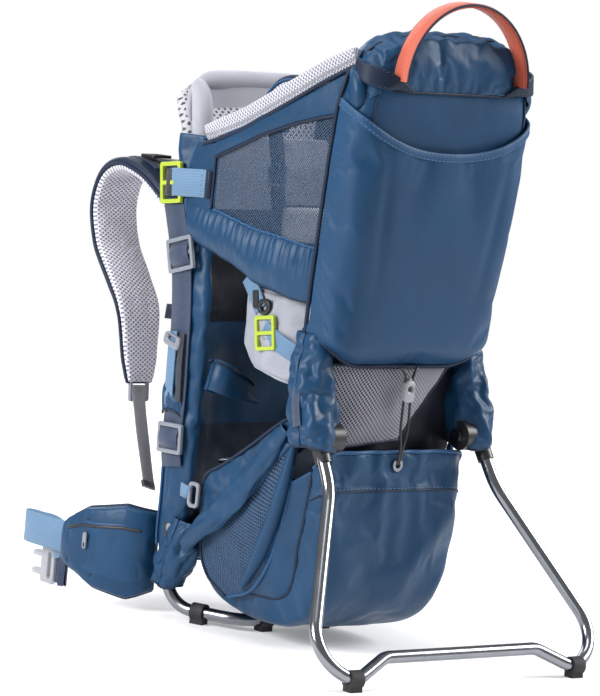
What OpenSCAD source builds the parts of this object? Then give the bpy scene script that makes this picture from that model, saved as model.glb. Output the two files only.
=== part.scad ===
// Framed child carrier worn on the back, standing on its open kickstand.
// Wearer faces +Y, wearer's right is +X, floor is z = 0. All sizes are in millimetres.

/* [Frame] */
// Outside diameter of the frame and stand tubes
tube_d = 14; // [12:0.5:15]
// Wall thickness of the tubes
tube_wall = 1.5; // [1:0.25:2.5]
// Half the distance between the two uprights
upright_x = 113; // [110:0.5:115]
// Half the width of the rear frame where it carries the rear panel
rear_x = 85; // [82:0.5:86]

/* [Stand] */
// Height of the stand's pivot above the floor
pivot_z = 243; // [240:1:246]
// Angle of the open stand from vertical
stand_open = 32.4; // [30:0.2:34]
// Half the distance between the stand's two feet
stand_foot_x = 158; // [150:1:164]
// Clearance between a moving pin and its bore
pin_gap = 0.05; // [0.02:0.01:0.09]

/* [Body] */
// Half the width of the back pad
back_x = 99; // [90:1:100]
// Thickness of the back pad
back_t = 29; // [24:1:30]
// Half the width of the rear panel
panel_x = 110; // [106:1:112]
// Half the width of the lower bag
bag_x = 85; // [78:1:86]
// Radius of the grab handle
handle_r = 86; // [80:1:90]

/* [Belt and straps] */
// Width of a shoulder pad
strap_w = 60; // [50:1:62]
// Thickness of a shoulder pad
strap_t = 14; // [10:1:16]
// Width of the hip belt webbing
belt_w = 38; // [30:1:38]
// Thickness of every piece of webbing
web_t = 2; // [1.5:0.25:2.25]

/* [Hidden] */
$fn = 48;

alu = "silver";
black = [0.08, 0.08, 0.09];
navy = [0.14, 0.24, 0.38];
deep_navy = [0.09, 0.14, 0.22];
blue = [0.25, 0.38, 0.55];
light_blue = [0.50, 0.68, 0.80];
grey = [0.80, 0.80, 0.82];
silver_plastic = [0.72, 0.73, 0.74];
lime = [0.80, 0.90, 0.25];
orange = [0.88, 0.42, 0.28];

tube_r = tube_d / 2;
fit = 0.1;                 // gap between a tube and a part that clamps it
sole = 6;                  // rubber under a tube at a foot
tube_z = tube_r + sole;    // height of a tube that rests on feet

// Pivot axis of the stand
pivot_y = -152;
pivot_r = 4;
knuckle_x = 116;
stand_len = (pivot_z - tube_z) / cos(stand_open);

// Front face of the back pad: heights and the y there
face = [[104, 124], [104, 150], [104, 353], [160, 590]];
lean = (face[3][0] - face[2][0]) / (face[3][1] - face[2][1]);
function face_y(z) = face[2][0] + lean * (z - face[2][1]);
lean_len = sqrt(1 + lean * lean);
lean_up = [lean / lean_len, 1 / lean_len];
lean_out = [1 / lean_len, -lean / lean_len];

// ---------- geometry helpers ----------
function unit(v) = v / norm(v);
function flip_x(points) = [for (i = [len(points) - 1 : -1 : 0]) [-points[i][0], points[i][1], points[i][2]]];
function reversed(list) = [for (i = [len(list) - 1 : -1 : 0]) list[i]];
function both_sides(points) = concat(points, flip_x(points));

// The same path with both ends drawn out by d
function longer(p, d) = [for (i = [0 : len(p) - 1])
    i == 0 ? p[0] + d * unit(p[0] - p[1]) : i == len(p) - 1 ? p[i] + d * unit(p[i] - p[i - 1]) : p[i]];

// Side of a flat polyline moved by d along its left normal
function side(p, d) = [for (i = [0 : len(p) - 1])
    let (a = p[max(i - 1, 0)], b = p[min(i + 1, len(p) - 1)], t = unit(b - a)) p[i] + d * [-t[1], t[0]]];
function band(p, t) = concat(side(p, t / 2), reversed(side(p, -t / 2)));

module frame_at(origin, x, y) {
    z = cross(x, y);
    multmatrix([[x[0], y[0], z[0], origin[0]], [x[1], y[1], z[1], origin[1]],
        [x[2], y[2], z[2], origin[2]], [0, 0, 0, 1]]) children();
}

// Turns local +Z to run from p towards q
module aim(p, q) {
    d = unit(q - p);
    u = unit(cross(abs(d[2]) > 0.9 ? [0, 1, 0] : [0, 0, 1], d));
    frame_at(p, u, cross(d, u)) children();
}

module rod(p, q, r) {
    aim(p, q) cylinder(h = norm(q - p), r = r);
}

// Flat strip of webbing from p to q, w wide across the direction that is square to up
module strip(p, q, w, t) {
    aim(p, q) translate([-w / 2, -t / 2, 0]) cube([w, t, norm(q - p)]);
}

// Round bar along points, with an arc of radius bends[i] at each inner point; bore 0 makes it solid.
// A very low bead covers each end of an arc, where straight and bent lengths meet.
module bar(points, bends, r, bore = 0) {
    n = len(points);
    gap = 0.3;
    bead = 0.06;
    dirs = [for (i = [0 : n - 2]) unit(points[i + 1] - points[i])];
    turn = [for (i = [0 : n - 1]) i == 0 || i == n - 1 ? 0 : acos(min(1, dirs[i - 1] * dirs[i]))];
    cut = [for (i = [0 : n - 1]) i == 0 || i == n - 1 ? 0 : bends[i] * tan(turn[i] / 2)];
    for (i = [0 : n - 2]) {
        d = dirs[i];
        p = points[i] + cut[i] * d;
        q = points[i + 1] - cut[i + 1] * d;
        p_in = i > 0 ? p + gap * d : p;
        q_in = i < n - 2 ? q - gap * d : q;
        tube(p_in, q_in, r, bore);
        if (i > 0) tube(p - gap * d, p + 2 * gap * d, r + bead, bore - bead);
        if (i < n - 2) tube(q - 2 * gap * d, q + gap * d, r + bead, bore - bead);
    }
    for (i = [1 : n - 2]) {
        inward = unit(dirs[i] - (dirs[i] * dirs[i - 1]) * dirs[i - 1]);
        frame_at(points[i] - cut[i] * dirs[i - 1] + bends[i] * inward, -inward, dirs[i - 1])
            rotate_extrude(angle = turn[i]) translate([bends[i], 0]) ring(r, bore);
    }
}

module tube(p, q, r, bore) {
    aim(p, q) linear_extrude(norm(q - p)) ring(r, bore);
}

module ring(r, bore) {
    difference() {
        circle(r, $fn = 24);
        if (bore > 0) circle(bore, $fn = 24);
    }
}

// Extrudes a (y, z) outline from x0 over a width w in +X
module across(x0, w) {
    multmatrix([[0, 0, 1, x0], [1, 0, 0, 0], [0, 1, 0, 0], [0, 0, 0, 1]]) linear_extrude(w) children();
}

// Extrudes an (x, z) outline from y0 over a depth d in +Y
module through(y0, d) {
    translate([0, y0 + d, 0]) rotate([90, 0, 0]) linear_extrude(d) children();
}

module pair() {
    children();
    mirror([1, 0, 0]) children();
}

// Rectangular webbing frame lying in the YZ plane, with one middle bar
module ladder(w, h, t, rim) {
    difference() {
        translate([0, -w / 2, -h / 2]) cube([t, w, h]);
        for (s = [-1, 1]) translate([-1, -w / 2 + rim, s > 0 ? rim / 2 : -h / 2 + rim])
            cube([t + 2, w - 2 * rim, h / 2 - 1.5 * rim]);
    }
}

// ---------- frame ----------
main_half = [[104, 112, 572], [109, 82, 445], [upright_x, 64, 350], [upright_x, 66, 150],
    [upright_x, 90, tube_z], [76, -6, tube_z]];
main_bend = [0, 80, 80, 80, 34, 30];
main_points = both_sides(main_half);
main_bends = concat(main_bend, reversed(main_bend));

rear_half = [[97, 84, 96], [97, -130, 247], [rear_x, -97, 345], [rear_x, -123, 668]];
rear_bend = [0, 34, 70, 50];
rear_points = both_sides(rear_half);
rear_bends = concat(rear_bend, reversed(rear_bend));

clamp_at = [73.5, 104];    // y and z of the bolt that joins strut and upright
bolt_r = 2.5;

module main_frame() {
    color(alu) difference() {
        bar(main_points, main_bends, tube_r, tube_r - tube_wall);
        clamp_bolts(bolt_r + fit);
    }
}

module rear_frame() {
    color(alu) difference() {
        bar(rear_points, rear_bends, tube_r, tube_r - tube_wall);
        clamp_bolts(bolt_r + fit);
    }
}

module cross_stays() {
    stay_r = 5;
    reach = upright_x - tube_r - 0.3;
    color(alu) stays(reach, stay_r);
}

module stays(reach, r) {
    for (z = [180, 340]) rod([-reach, 64.6, z], [reach, 64.6, z], r);
}

module clamp_bolts(r) {
    pair() rod([84, clamp_at[0], clamp_at[1]], [125, clamp_at[0], clamp_at[1]], r);
}

module frame_brackets() {
    color(black) difference() {
        pair() translate([87.5, 61, 92]) cube([35, 25, 24]);
        bar(main_points, main_bends, tube_r + fit);
        bar(longer(rear_points, 4), rear_bends, tube_r + fit);
        clamp_bolts(bolt_r + fit);
    }
}

module frame_bolts() {
    head_r = 5;
    color(alu) {
        clamp_bolts(bolt_r);
        pair() for (x = [83, 123]) rod([x, clamp_at[0], clamp_at[1]], [x + 3, clamp_at[0], clamp_at[1]], head_r);
    }
}

// Rubber shoe under a tube at p, with the tube running along dir
module shoe(p, dir) {
    shoe_r = tube_r + 3;
    half = 8;
    rod(p - half * dir, p + half * dir, shoe_r);
    frame_at([p[0], p[1], 0], dir, cross([0, 0, 1], dir)) translate([-half, -6.5, 0]) cube([2 * half, 13, tube_z]);
}

module base_feet() {
    corner = main_half[4];
    rear = main_half[5];
    dir = unit(rear - corner);
    color(black) difference() {
        pair() {
            shoe(corner + 50 * dir, dir);
            shoe([rear[0] - 34, rear[1], tube_z], [1, 0, 0]);
        }
        bar(main_points, main_bends, tube_r + fit);
    }
}

// ---------- stand ----------
// A point of the stand: x, and the distance l from the pivot down the open stand
function on_stand(x, l) = [x, pivot_y - l * sin(stand_open), pivot_z - l * cos(stand_open)];
stand_half = [on_stand(knuckle_x, 14), on_stand(knuckle_x + 3, 60), on_stand(stand_foot_x + 47, stand_len - 29),
    on_stand(stand_foot_x, stand_len + 3.4), on_stand(stand_foot_x - 50, stand_len - 22)];
stand_bend = [0, 90, 44, 26, 26];
stand_points = both_sides(stand_half);
stand_bends = concat(stand_bend, reversed(stand_bend));

module stand_tube() {
    color(alu) bar(stand_points, stand_bends, tube_r, tube_r - tube_wall);
}

module stand_knuckles() {
    knuckle_w = 15;
    neck_r = tube_r + 2.2;
    color(black) difference() {
        pair() {
            rod([knuckle_x - knuckle_w / 2, pivot_y, pivot_z], [knuckle_x + knuckle_w / 2, pivot_y, pivot_z], 13);
            rod(on_stand(knuckle_x, 6), on_stand(knuckle_x + 1.3, 30), neck_r);
        }
        bar(longer(stand_points, 1), stand_bends, tube_r + fit);
        pair() rod([100, pivot_y, pivot_z], [130, pivot_y, pivot_z], pivot_r + pin_gap);
        pair() for (side = [-1, 1]) translate([knuckle_x + side * (knuckle_w / 2 + 5) - 5, pivot_y - 25, pivot_z - 40])
            cube([10, 50, 80]);
    }
}

module stand_feet() {
    p = on_stand(stand_foot_x + 1, stand_len);
    color(black) difference() {
        pair() shoe([p[0], p[1], tube_z], [1, 0, 0]);
        bar(stand_points, stand_bends, tube_r + fit);
    }
}

module hub_housings() {
    color(black) difference() {
        pair() across(88, 19) {
            translate([pivot_y, pivot_z]) circle(16);
            translate([-131, 248]) circle(13);
            translate([pivot_y, pivot_z - 10]) square([20, 26]);
        }
        bar(rear_points, rear_bends, tube_r + fit);
        pair() rod([80, pivot_y, pivot_z], [112, pivot_y, pivot_z], pivot_r + pin_gap);
    }
}

module pivot_bolts() {
    color(alu) pair() {
        rod([82, pivot_y, pivot_z], [128, pivot_y, pivot_z], pivot_r);
        rod([124.2, pivot_y, pivot_z], [128.5, pivot_y, pivot_z], 8);
        rod([81, pivot_y, pivot_z], [87.5, pivot_y, pivot_z], 7.5);
    }
}

// ---------- back ----------
module upright_sleeves() {
    sleeve_half = [main_half[0] - 6 * unit(main_half[0] - main_half[1]), main_half[1], main_half[2],
        [upright_x, 66, 150], [upright_x, 69.3, 131]];
    bend = [0, 80, 80, 80, 0];
    color(navy) difference() {
        pair() bar(sleeve_half, bend, tube_r + 4, tube_r + 2 * fit);
        stays(upright_x, 5.5);
    }
}

module back_pad() {
    rear = [for (p = face) [p[0] - back_t, p[1]]];
    color(navy) across(-back_x, 2 * back_x) polygon(concat(face, reversed(rear)));
}

// Outline parallel to the leaning upper face, from a to b out of it, between heights z0 and z1
function on_lean(z0, z1, a, b) = [for (k = [[z0, a], [z1, a], [z1, b], [z0, b]])
    [face_y(k[0]), k[0]] + k[1] * lean_out];

module chin_pad() {
    color(grey) across(-88, 176) polygon(on_lean(472, 592, -back_t - 22, -back_t - 2));
}

module lumbar_pad() {
    color(navy) across(-90, 180)
        polygon([[107, 60], [116, 60], [125, 80], [125, 130], [118, 150], [107, 150]]);
}

module yoke() {
    color(navy) across(-48, 96) polygon(on_lean(402, 505, 2, 12));
}

// ---------- rear panel and cockpit ----------
panel_depth = 49;
panel_r = (panel_x * panel_x + panel_depth * panel_depth) / (2 * panel_depth);
panel_tilt = 5.3;
panel_low = [-154, 323];   // y and z of the lower edge in the middle

module rear_panel() {
    shell = 8;
    color(navy) translate([0, panel_low[0], panel_low[1]]) rotate([panel_tilt, 0, 0]) linear_extrude(274)
        difference() {
            translate([0, panel_r]) circle(panel_r, $fn = 96);
            translate([0, panel_r]) circle(panel_r - shell, $fn = 96);
            translate([-2 * panel_r, panel_depth]) square(4 * panel_r);
        }
}

module hood() {
    dome_r = 130;
    color(navy) through(-181, 30) intersection() {
        translate([0, 694 - dome_r]) circle(dome_r);
        translate([-100, 602]) square([200, 100]);
    }
}

module cockpit_sides() {
    outline = [[66, 540], [66, 440], [20, 418], [-35, 405], [-98, 386], [-114, 640]];
    color(blue) pair() across(121.5, 5) polygon(outline);
}

module cockpit_rims() {
    color(grey) pair() across(108.5, 24) polygon([[66, 543], [66, 557], [-114, 657], [-114, 643]]);
}

module seat_back() {
    color(grey) translate([-70, -104, 322]) cube([140, 10, 262]);
}

// ---------- lower bag ----------
bag_path = [[-151, 224], [-149, 130], [-132, 62], [-98, 32], [-8, 30], [34, 50], [46, 110], [34, 160]];

module lower_bag() {
    wall = 4;
    top = [[34, 160], [-40, 186], [-116, 214]];
    color(blue) {
        across(-bag_x, 2 * bag_x) polygon(band(bag_path, wall));
        for (x = [-bag_x, bag_x - wall]) across(x, wall) polygon(concat(bag_path, top));
    }
}

module stash_mesh() {
    color(grey) translate([-78, -139, 228]) cube([156, 4, 90]);
}

module side_pockets() {
    color(blue) pair() across(108.5, 4) polygon([[-100, 60], [-60, 38], [-10, 36], [32, 62], [20, 112], [-70, 168]]);
}

module drawcord() {
    color(black) for (x = [-3, 3]) rod([x, -159, 221], [x, -159, 320], 1.3);
}

module cord_eyelet() {
    color(alu) difference() {
        rod([0, -155.2, 212], [0, -153.4, 212], 7);
        rod([0, -160, 212], [0, -150, 212], 3.5);
    }
}

module cord_lock() {
    color(silver_plastic) difference() {
        translate([-7, -164, 282]) cube([14, 10, 24]);
        for (x = [-3, 3]) rod([x, -159, 280], [x, -159, 310], 1.5);
    }
}

// ---------- straps on the sides ----------
side_web = [[97, 452], [84, 407], [73, 350], [70, 300], [68, 207], [66, 138]];
side_web_x = 125.5;

module side_webbing() {
    color(navy) pair() across(side_web_x, web_t) polygon(band(side_web, 25));
}

module side_triglides() {
    color(silver_plastic) pair() for (p = [[84, 407], [68, 207]])
        translate([side_web_x + web_t + 0.5, p[0], p[1]]) ladder(34, 38, 4, 4);
}

module gear_loop() {
    color(silver_plastic) translate([side_web_x - 4, 38, 147]) difference() {
        translate([0, -9, -15]) cube([4, 18, 30]);
        translate([-1, -5, -11]) cube([6, 10, 22]);
    }
}

module cockpit_buckles() {
    color(lime) pair() translate([127, 106, 479]) ladder(22, 40, 4.5, 4);
}

module cockpit_webbing() {
    color(light_blue) pair() translate([127.5, 58, 465]) cube([web_t, 36, 28]);
}

// ---------- child harness and seat ----------
module harness_pads() {
    arch = [-8, 565];
    outer = 54;
    pad_t = 9;
    color(navy) pair() translate([40, arch[0], arch[1]]) rotate([90, 0, 90]) rotate_extrude_band(outer, pad_t, 38);
}

// Half ring of radius r, t thick and w wide, standing on its two ends
module rotate_extrude_band(r, t, w) {
    linear_extrude(w) difference() {
        circle(r);
        circle(r - t);
        translate([-2 * r, -2 * r]) square([4 * r, 2 * r]);
    }
}

module harness_webbing() {
    color(deep_navy) pair() {
        strip([59, 41, 562], [30, 52, 438], 20, web_t);
        strip([59, -60, 562], [59, -91, 530], 20, web_t);
    }
}

module seat_cushion() {
    wide = 96;
    color(grey) translate([0, 0, 296]) linear_extrude(16) polygon([[-wide, -90], [wide, -90], [wide, -22],
        [44, 8], [34, 46], [-34, 46], [-44, 8], [-wide, -22]]);
}

module seat_wings() {
    color(grey) pair() across(97, 5) polygon([[-88, 300], [-20, 300], [-12, 330], [-18, 384], [-88, 376]]);
}

module seat_buckles() {
    color(lime) pair() translate([103, -34, 340]) rotate([18, 0, 0]) ladder(26, 36, 4, 4);
}

module crotch_strap() {
    color(deep_navy) translate([-14, 40, 314]) cube([28, web_t, 37]);
}

module harness_buckle() {
    color(black) difference() {
        translate([-26, 35, 352]) cube([52, 12, 40]);
        rod([0, 41, 372], [0, 51, 372], 9.3);
    }
}

module harness_button() {
    color(orange) rod([0, 43.5, 372], [0, 48.5, 372], 9);
}

module stirrup() {
    band_h = 30;
    wall = 3;
    color(blue) translate([62, 10, 262]) difference() {
        cube([60, 38, band_h]);
        translate([wall, wall, -1]) cube([60 - 2 * wall, 38 - 2 * wall, band_h + 2]);
    }
}

// ---------- shoulder straps ----------
strap_path = [[149, 453], [188, 480], [236, 492], [266, 476], [277, 442], [264, 398], [236, 362], [212, 330],
    [202, 288], [195, 248]];
strap_x = 87;

module shoulder_pad() {
    color(grey) across(strap_x - strap_w / 2, strap_w) polygon(band(strap_path, strap_t));
}

module load_lifter() {
    color(navy) across(strap_x - 10, 20) polygon(band([[143, 500], [196, 502], [228, 501]], web_t));
}

module strap_tail() {
    color(deep_navy) {
        strip([93, 190, 238], [107, 138, 136], 20, web_t);
        across(78, 28) polygon(band([[194, 243], [190, 233]], 5));
    }
}

module sternum_half() {
    color(deep_navy) {
        translate([16, 204, 319]) cube([38, 2.5, 18]);
        translate([9, 201, 316]) cube([22, 8, 24]);
    }
}

// ---------- hip belt ----------
fin_path = [[106, 118], [126, 126], [145, 154], [155, 190], [158, 216]];
fin_t = 18;
belt_loop = [[158, 219], [160, 280], [157, 295], [152, 300], [148, 295], [147, 280], [146, 240]];
belt_end = [[146, 240], [143, 232], [138, 234], [136, 256]];
buckle_z = 3;
buckle_h = 42;

module hip_fin() {
    color(navy) translate([0, 0, 18]) linear_extrude(102) polygon(band(fin_path, fin_t));
}

module hip_web() {
    low = buckle_z + (buckle_h - belt_w) / 2;
    color(light_blue) {
        translate([0, 0, 48]) linear_extrude(belt_w) polygon(band(belt_loop, web_t));
        translate([0, 0, low]) linear_extrude(belt_w) polygon(band(belt_end, web_t));
        translate([145, 236, low]) cube([web_t, 6, 48 + belt_w - low]);
    }
}

// Side-release plug: a base, two springy arms and a centre guide, pointing to +Y
module buckle_male() {
    thick = 9;
    color(silver_plastic) mirror([1, 0, 0]) translate([136 - thick / 2, 258, buckle_z]) {
        cube([thick, 14, buckle_h]);
        translate([1, 13, buckle_h / 2 - 3]) cube([thick - 2, 26, 6]);
        for (z = [2, buckle_h - 9]) translate([1, 13, z]) cube([thick - 2, 30, 7]);
    }
}

module buckle_female() {
    thick = 11;
    color(silver_plastic) translate([136 - thick / 2, 258, buckle_z]) difference() {
        cube([thick, 44, buckle_h]);
        translate([2, 12, 3]) cube([thick - 4, 40, buckle_h - 6]);
        for (z = [-1, buckle_h - 2]) translate([-1, 20, z]) cube([thick + 2, 14, 3]);
    }
}

module zip_pull() {
    color(black) translate([164.5, 168, 62]) cube([3, 7, 20]);
}

// ---------- grab handle ----------
module grab_handle() {
    color(orange) translate([0, -183, 632]) rotate([90, 0, 0]) rotate_extrude_band(handle_r + 1.8, 3.6, 23);
}

module left() {
    mirror([1, 0, 0]) children();
}

main_frame();
rear_frame();
cross_stays();
frame_brackets();
frame_bolts();
base_feet();
hub_housings();
pivot_bolts();
upright_sleeves();
back_pad();
chin_pad();
lumbar_pad();
rear_panel();
hood();
cockpit_sides();
cockpit_rims();
seat_back();
lower_bag();
stash_mesh();
side_pockets();
side_webbing();
side_triglides();
left() gear_loop();  // gear_loop_left
gear_loop();  // gear_loop_right
cockpit_buckles();
cockpit_webbing();
harness_pads();
harness_webbing();
drawcord();
cord_eyelet();
cord_lock();
stand_tube();
stand_knuckles();
stand_feet();
grab_handle();
seat_cushion();
seat_wings();
seat_buckles();
crotch_strap();
harness_buckle();
harness_button();
left() stirrup();  // stirrup_left
stirrup();  // stirrup_right
yoke();
left() shoulder_pad();  // shoulder_pad_left
shoulder_pad();  // shoulder_pad_right
left() load_lifter();  // load_lifter_left
load_lifter();  // load_lifter_right
left() strap_tail();  // strap_tail_left
strap_tail();  // strap_tail_right
left() sternum_half();  // sternum_left
sternum_half();  // sternum_right
left() hip_fin();  // hip_fin_left
hip_fin();  // hip_fin_right
left() hip_web();  // hip_web_left
hip_web();  // hip_web_right
buckle_male();
buckle_female();
left() zip_pull();  // zip_pull_left
zip_pull();  // zip_pull_right
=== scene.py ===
from math import copysign, cos, exp, pi, radians, sin

import bmesh
import bpy
import numpy as np
from mathutils import Matrix, Vector, noise
from numpy import interp, linspace


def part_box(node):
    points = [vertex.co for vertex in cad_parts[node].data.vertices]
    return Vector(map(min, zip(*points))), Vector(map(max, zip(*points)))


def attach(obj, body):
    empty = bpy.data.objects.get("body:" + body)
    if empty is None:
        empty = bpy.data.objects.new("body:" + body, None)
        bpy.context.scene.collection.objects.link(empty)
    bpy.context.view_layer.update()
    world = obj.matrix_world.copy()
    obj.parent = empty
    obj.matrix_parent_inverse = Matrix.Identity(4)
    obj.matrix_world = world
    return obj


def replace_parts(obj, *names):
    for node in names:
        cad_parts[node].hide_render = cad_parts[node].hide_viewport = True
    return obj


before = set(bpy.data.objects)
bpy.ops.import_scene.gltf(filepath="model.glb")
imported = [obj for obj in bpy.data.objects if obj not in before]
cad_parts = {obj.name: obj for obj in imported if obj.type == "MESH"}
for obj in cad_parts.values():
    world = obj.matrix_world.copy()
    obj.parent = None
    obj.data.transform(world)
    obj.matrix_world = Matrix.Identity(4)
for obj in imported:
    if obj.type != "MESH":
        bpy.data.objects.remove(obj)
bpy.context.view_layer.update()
MM = 0.001
V = np.array
X, Y, Z = (1, 0, 0), (0, 1, 0), (0, 0, 1)
# the wearer's left is at negative x
SIDES = ((-1, "left"), (1, "right"))


# ---------------------------------------------------------------- materials
class Nodes:
    """A material being built: each method adds shader nodes and returns an output."""

    def __init__(self, name):
        self.mat = bpy.data.materials.new(name)
        self.mat.use_nodes = True
        self.tree = self.mat.node_tree
        self.tree.nodes.clear()

    def node(self, kind, inputs, **settings):
        n = self.tree.nodes.new("ShaderNode" + kind)
        for key, value in settings.items():
            setattr(n, key, value)
        for key, value in inputs.items():
            if isinstance(value, bpy.types.NodeSocket):
                self.tree.links.new(value, n.inputs[key])
            elif value is not None:
                n.inputs[key].default_value = value
        return n.outputs

    def math(self, op, a, b=0.0, c=0.0):
        return self.node("Math", {0: a, 1: b, 2: c}, operation=op)[0]

    def mix(self, factor, a, b):
        return self.node("Mix", {0: factor, 6: a, 7: b}, data_type="RGBA")[2]

    def place(self, kind="Object"):
        return self.node("TexCoord", {})[kind]

    def noise(self, scale, detail=3.0, rough=0.55, where=None):
        where = where or self.place()
        return self.node("TexNoise", {"Vector": where, "Scale": scale, "Detail": detail,
                                      "Roughness": rough})[0]

    def ramp(self, value, low, high, a=0.0, b=1.0):
        return self.node("MapRange", {0: value, 1: low, 2: high, 3: a, 4: b})[0]

    def bump(self, height, strength, distance, normal=None):
        inputs = {"Height": height, "Strength": strength, "Distance": distance, "Normal": normal}
        return self.node("Bump", inputs)[0]

    def edges(self, low, high):
        return self.ramp(self.node("NewGeometry", {})["Pointiness"], low, high)

    def stripes(self, value, pitch):
        """0 to 1 wave along a length in metres."""
        wave = self.math("SINE", self.math("MULTIPLY", value, 2 * pi / pitch))
        return self.math("MULTIPLY_ADD", wave, 0.5, 0.5)

    def dots(self, pitch_u, pitch_v, radius):
        """1 inside the holes of a staggered pattern in the UV, 0 outside. Radius is a share of the pitch."""
        u, v = self.node("SeparateXYZ", {0: self.place("UV")})[:2]
        near = None
        for shift in (0.0, 0.5):
            squares = []
            for along, pitch in ((u, pitch_u), (v, pitch_v)):
                cell = self.math("FRACT", self.math("ADD", self.math("DIVIDE", along, pitch), shift))
                off = self.math("SUBTRACT", cell, 0.5)
                squares.append(self.math("MULTIPLY", off, off))
            far = self.math("SQRT", self.math("ADD", *squares))
            near = far if near is None else self.math("MINIMUM", near, far)
        return self.ramp(near, radius * 1.15, radius * 0.8)

    def finish(self, colour, rough, normal, specular=0.5, more=None, alpha=None):
        inputs = {"Base Color": colour, "Roughness": rough, "Normal": normal, "Specular IOR Level": specular}
        surface = self.node("BsdfPrincipled", inputs | (more or {}))[0]
        if alpha is not None:
            clear = self.node("BsdfTransparent", {})[0]
            surface = self.node("MixShader", {0: alpha, 1: clear, 2: surface})[0]
        self.node("OutputMaterial", {"Surface": surface})
        return self.mat


def rgb(r, g, b):
    """Display colour 0-255 to scene linear."""
    return (*(((c / 255 + 0.055) / 1.055) ** 2.4 if c > 10 else c / 255 / 12.92 for c in (r, g, b)), 1.0)


def shade(colour, scale, lift=0.0):
    return (*(min(1.0, c * scale + lift) for c in colour[:3]), 1.0)


def nylon(name, colour, rough=0.36, crinkle=0.25, sheen=0.015, pale_gain=1.3):
    """Woven pack cloth: fine crossed threads, soft crumple, and a painted highlight that makes it paler on
    convex folds and edges.
    """
    m = Nodes(name)
    x, y, z = m.node("SeparateXYZ", {0: m.place()})[:3]
    threads = m.math("MAXIMUM", m.stripes(m.math("ADD", x, y), 0.0011), m.stripes(z, 0.0011))
    broad = m.noise(9.0, 4.0)
    small = m.noise(60.0, 5.0, 0.6)
    # pale tone: the weave, the sheen tint and the painted highlight on folds and edges are mixed towards it
    pale = shade(colour, pale_gain, 0.004)
    tint = m.mix(m.ramp(broad, 0.35, 0.7), shade(colour, 0.78), colour)
    # painted highlight: the cloth turns towards the pale tone on its convex folds and edges, where light catches
    # them
    tint = m.mix(m.math("MULTIPLY", m.edges(0.51, 0.60), 0.55), tint, pale)
    tint = m.mix(m.math("MULTIPLY", threads, 0.10), tint, pale)
    mid = m.bump(small, crinkle, 0.0016, m.bump(broad, crinkle * 0.5, 0.010))
    return m.finish(tint, m.ramp(small, 0.3, 0.7, rough - 0.05, rough + 0.08), m.bump(threads, 0.25, 0.00025,
                                                                                      mid),
                    0.24, {"Sheen Weight": sheen, "Sheen Roughness": 0.35, "Sheen Tint": pale})


def webbing(name, colour, light=None):
    """Ribbed strap cloth: u runs across the strap and v along it, both in metres."""
    m = Nodes(name)
    u, v = m.node("SeparateXYZ", {0: m.place("UV")})[:2]
    ribs = m.math("MULTIPLY", m.stripes(v, 0.0016), 0.6)
    height = m.math("ADD", ribs, m.math("MULTIPLY", m.stripes(u, 0.0032), 0.5))
    tint = m.mix(m.math("MULTIPLY", height, 0.55), shade(colour, 0.6), light or shade(colour, 1.5, 0.01))
    tint = m.mix(m.math("MULTIPLY", m.noise(120.0), 0.5), tint, colour)
    return m.finish(tint, 0.5, m.bump(height, 0.55, 0.0005), 0.35, {"Sheen Weight": 0.2})


def air_mesh(name, colour, hole, pitch_u, pitch_v, radius):
    """Thick spacer mesh with staggered holes in its UV, over a fine knit."""
    m = Nodes(name)
    holes = m.dots(pitch_u, pitch_v, radius)
    tint = m.mix(m.ramp(m.noise(14.0), 0.3, 0.7, 0.0, 0.25), colour, shade(colour, 0.8))
    height = m.math("SUBTRACT", m.math("MULTIPLY", m.noise(900.0, 2.0), 0.2), holes)
    return m.finish(m.mix(holes, tint, hole), 0.85, m.bump(height, 0.9, 0.0012), 0.2, {"Sheen Weight": 0.4})


def net(name, colour, pitch_u, pitch_v, radius, dark=0.5):
    """See-through net: staggered open holes in its UV."""
    m = Nodes(name)
    open_part = m.dots(pitch_u, pitch_v, radius)
    knit = m.noise(700.0, 2.0)
    return m.finish(m.mix(knit, shade(colour, dark), colour), 0.6, m.bump(knit, 0.4, 0.0004), 0.3,
                    alpha=m.math("SUBTRACT", 1.0, open_part))


def plastic(name, colour, rough=0.35):
    """Moulded plastic with a fine grain, paler on its edges."""
    m = Nodes(name)
    tint = m.mix(m.math("MULTIPLY", m.edges(0.52, 0.62), 0.6), colour, shade(colour, 1.3, 0.01))
    rough = m.ramp(m.noise(40.0), 0.3, 0.7, rough - 0.06, rough + 0.1)
    return m.finish(tint, rough, m.bump(m.noise(1400.0, 2.0), 0.25, 0.0001))


def metal(name, colour, rough=0.16):
    """Polished tube with fine drawn lines and handling marks."""
    m = Nodes(name)
    smear = m.noise(25.0, 5.0, 0.65)
    drawn = m.node("Mapping", {"Vector": m.place(), "Scale": (1.0, 1.0, 0.06)})[0]
    tint = m.mix(m.ramp(smear, 0.35, 0.7), colour, shade(colour, 0.86))
    return m.finish(tint, m.ramp(smear, 0.3, 0.75, rough, rough + 0.12),
                    m.bump(m.noise(900.0, where=drawn), 0.06, 0.0002), more={"Metallic": 1.0})


def velour(name, colour):
    m = Nodes(name)
    nap = m.noise(1600.0)
    brushed = m.noise(10.0, 5.0, 0.6)
    pale = shade(colour, 1.22)
    tint = m.mix(m.ramp(brushed, 0.35, 0.68), colour, pale)
    tint = m.mix(m.math("MULTIPLY", nap, 0.25), tint, shade(colour, 0.8))
    return m.finish(tint, 0.95, m.bump(nap, 0.5, 0.0005, m.bump(brushed, 0.25, 0.006)), 0.15,
                    {"Sheen Weight": 0.9, "Sheen Roughness": 0.5, "Sheen Tint": pale})


def rubber(name, colour):
    m = Nodes(name)
    tint = m.mix(m.ramp(m.noise(45.0, 4.0), 0.5, 0.75, 0.0, 0.35), colour, (0.10, 0.10, 0.11, 1.0))
    return m.finish(tint, 0.7, m.bump(m.noise(600.0, 4.0, 0.7), 0.35, 0.0003))


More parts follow.
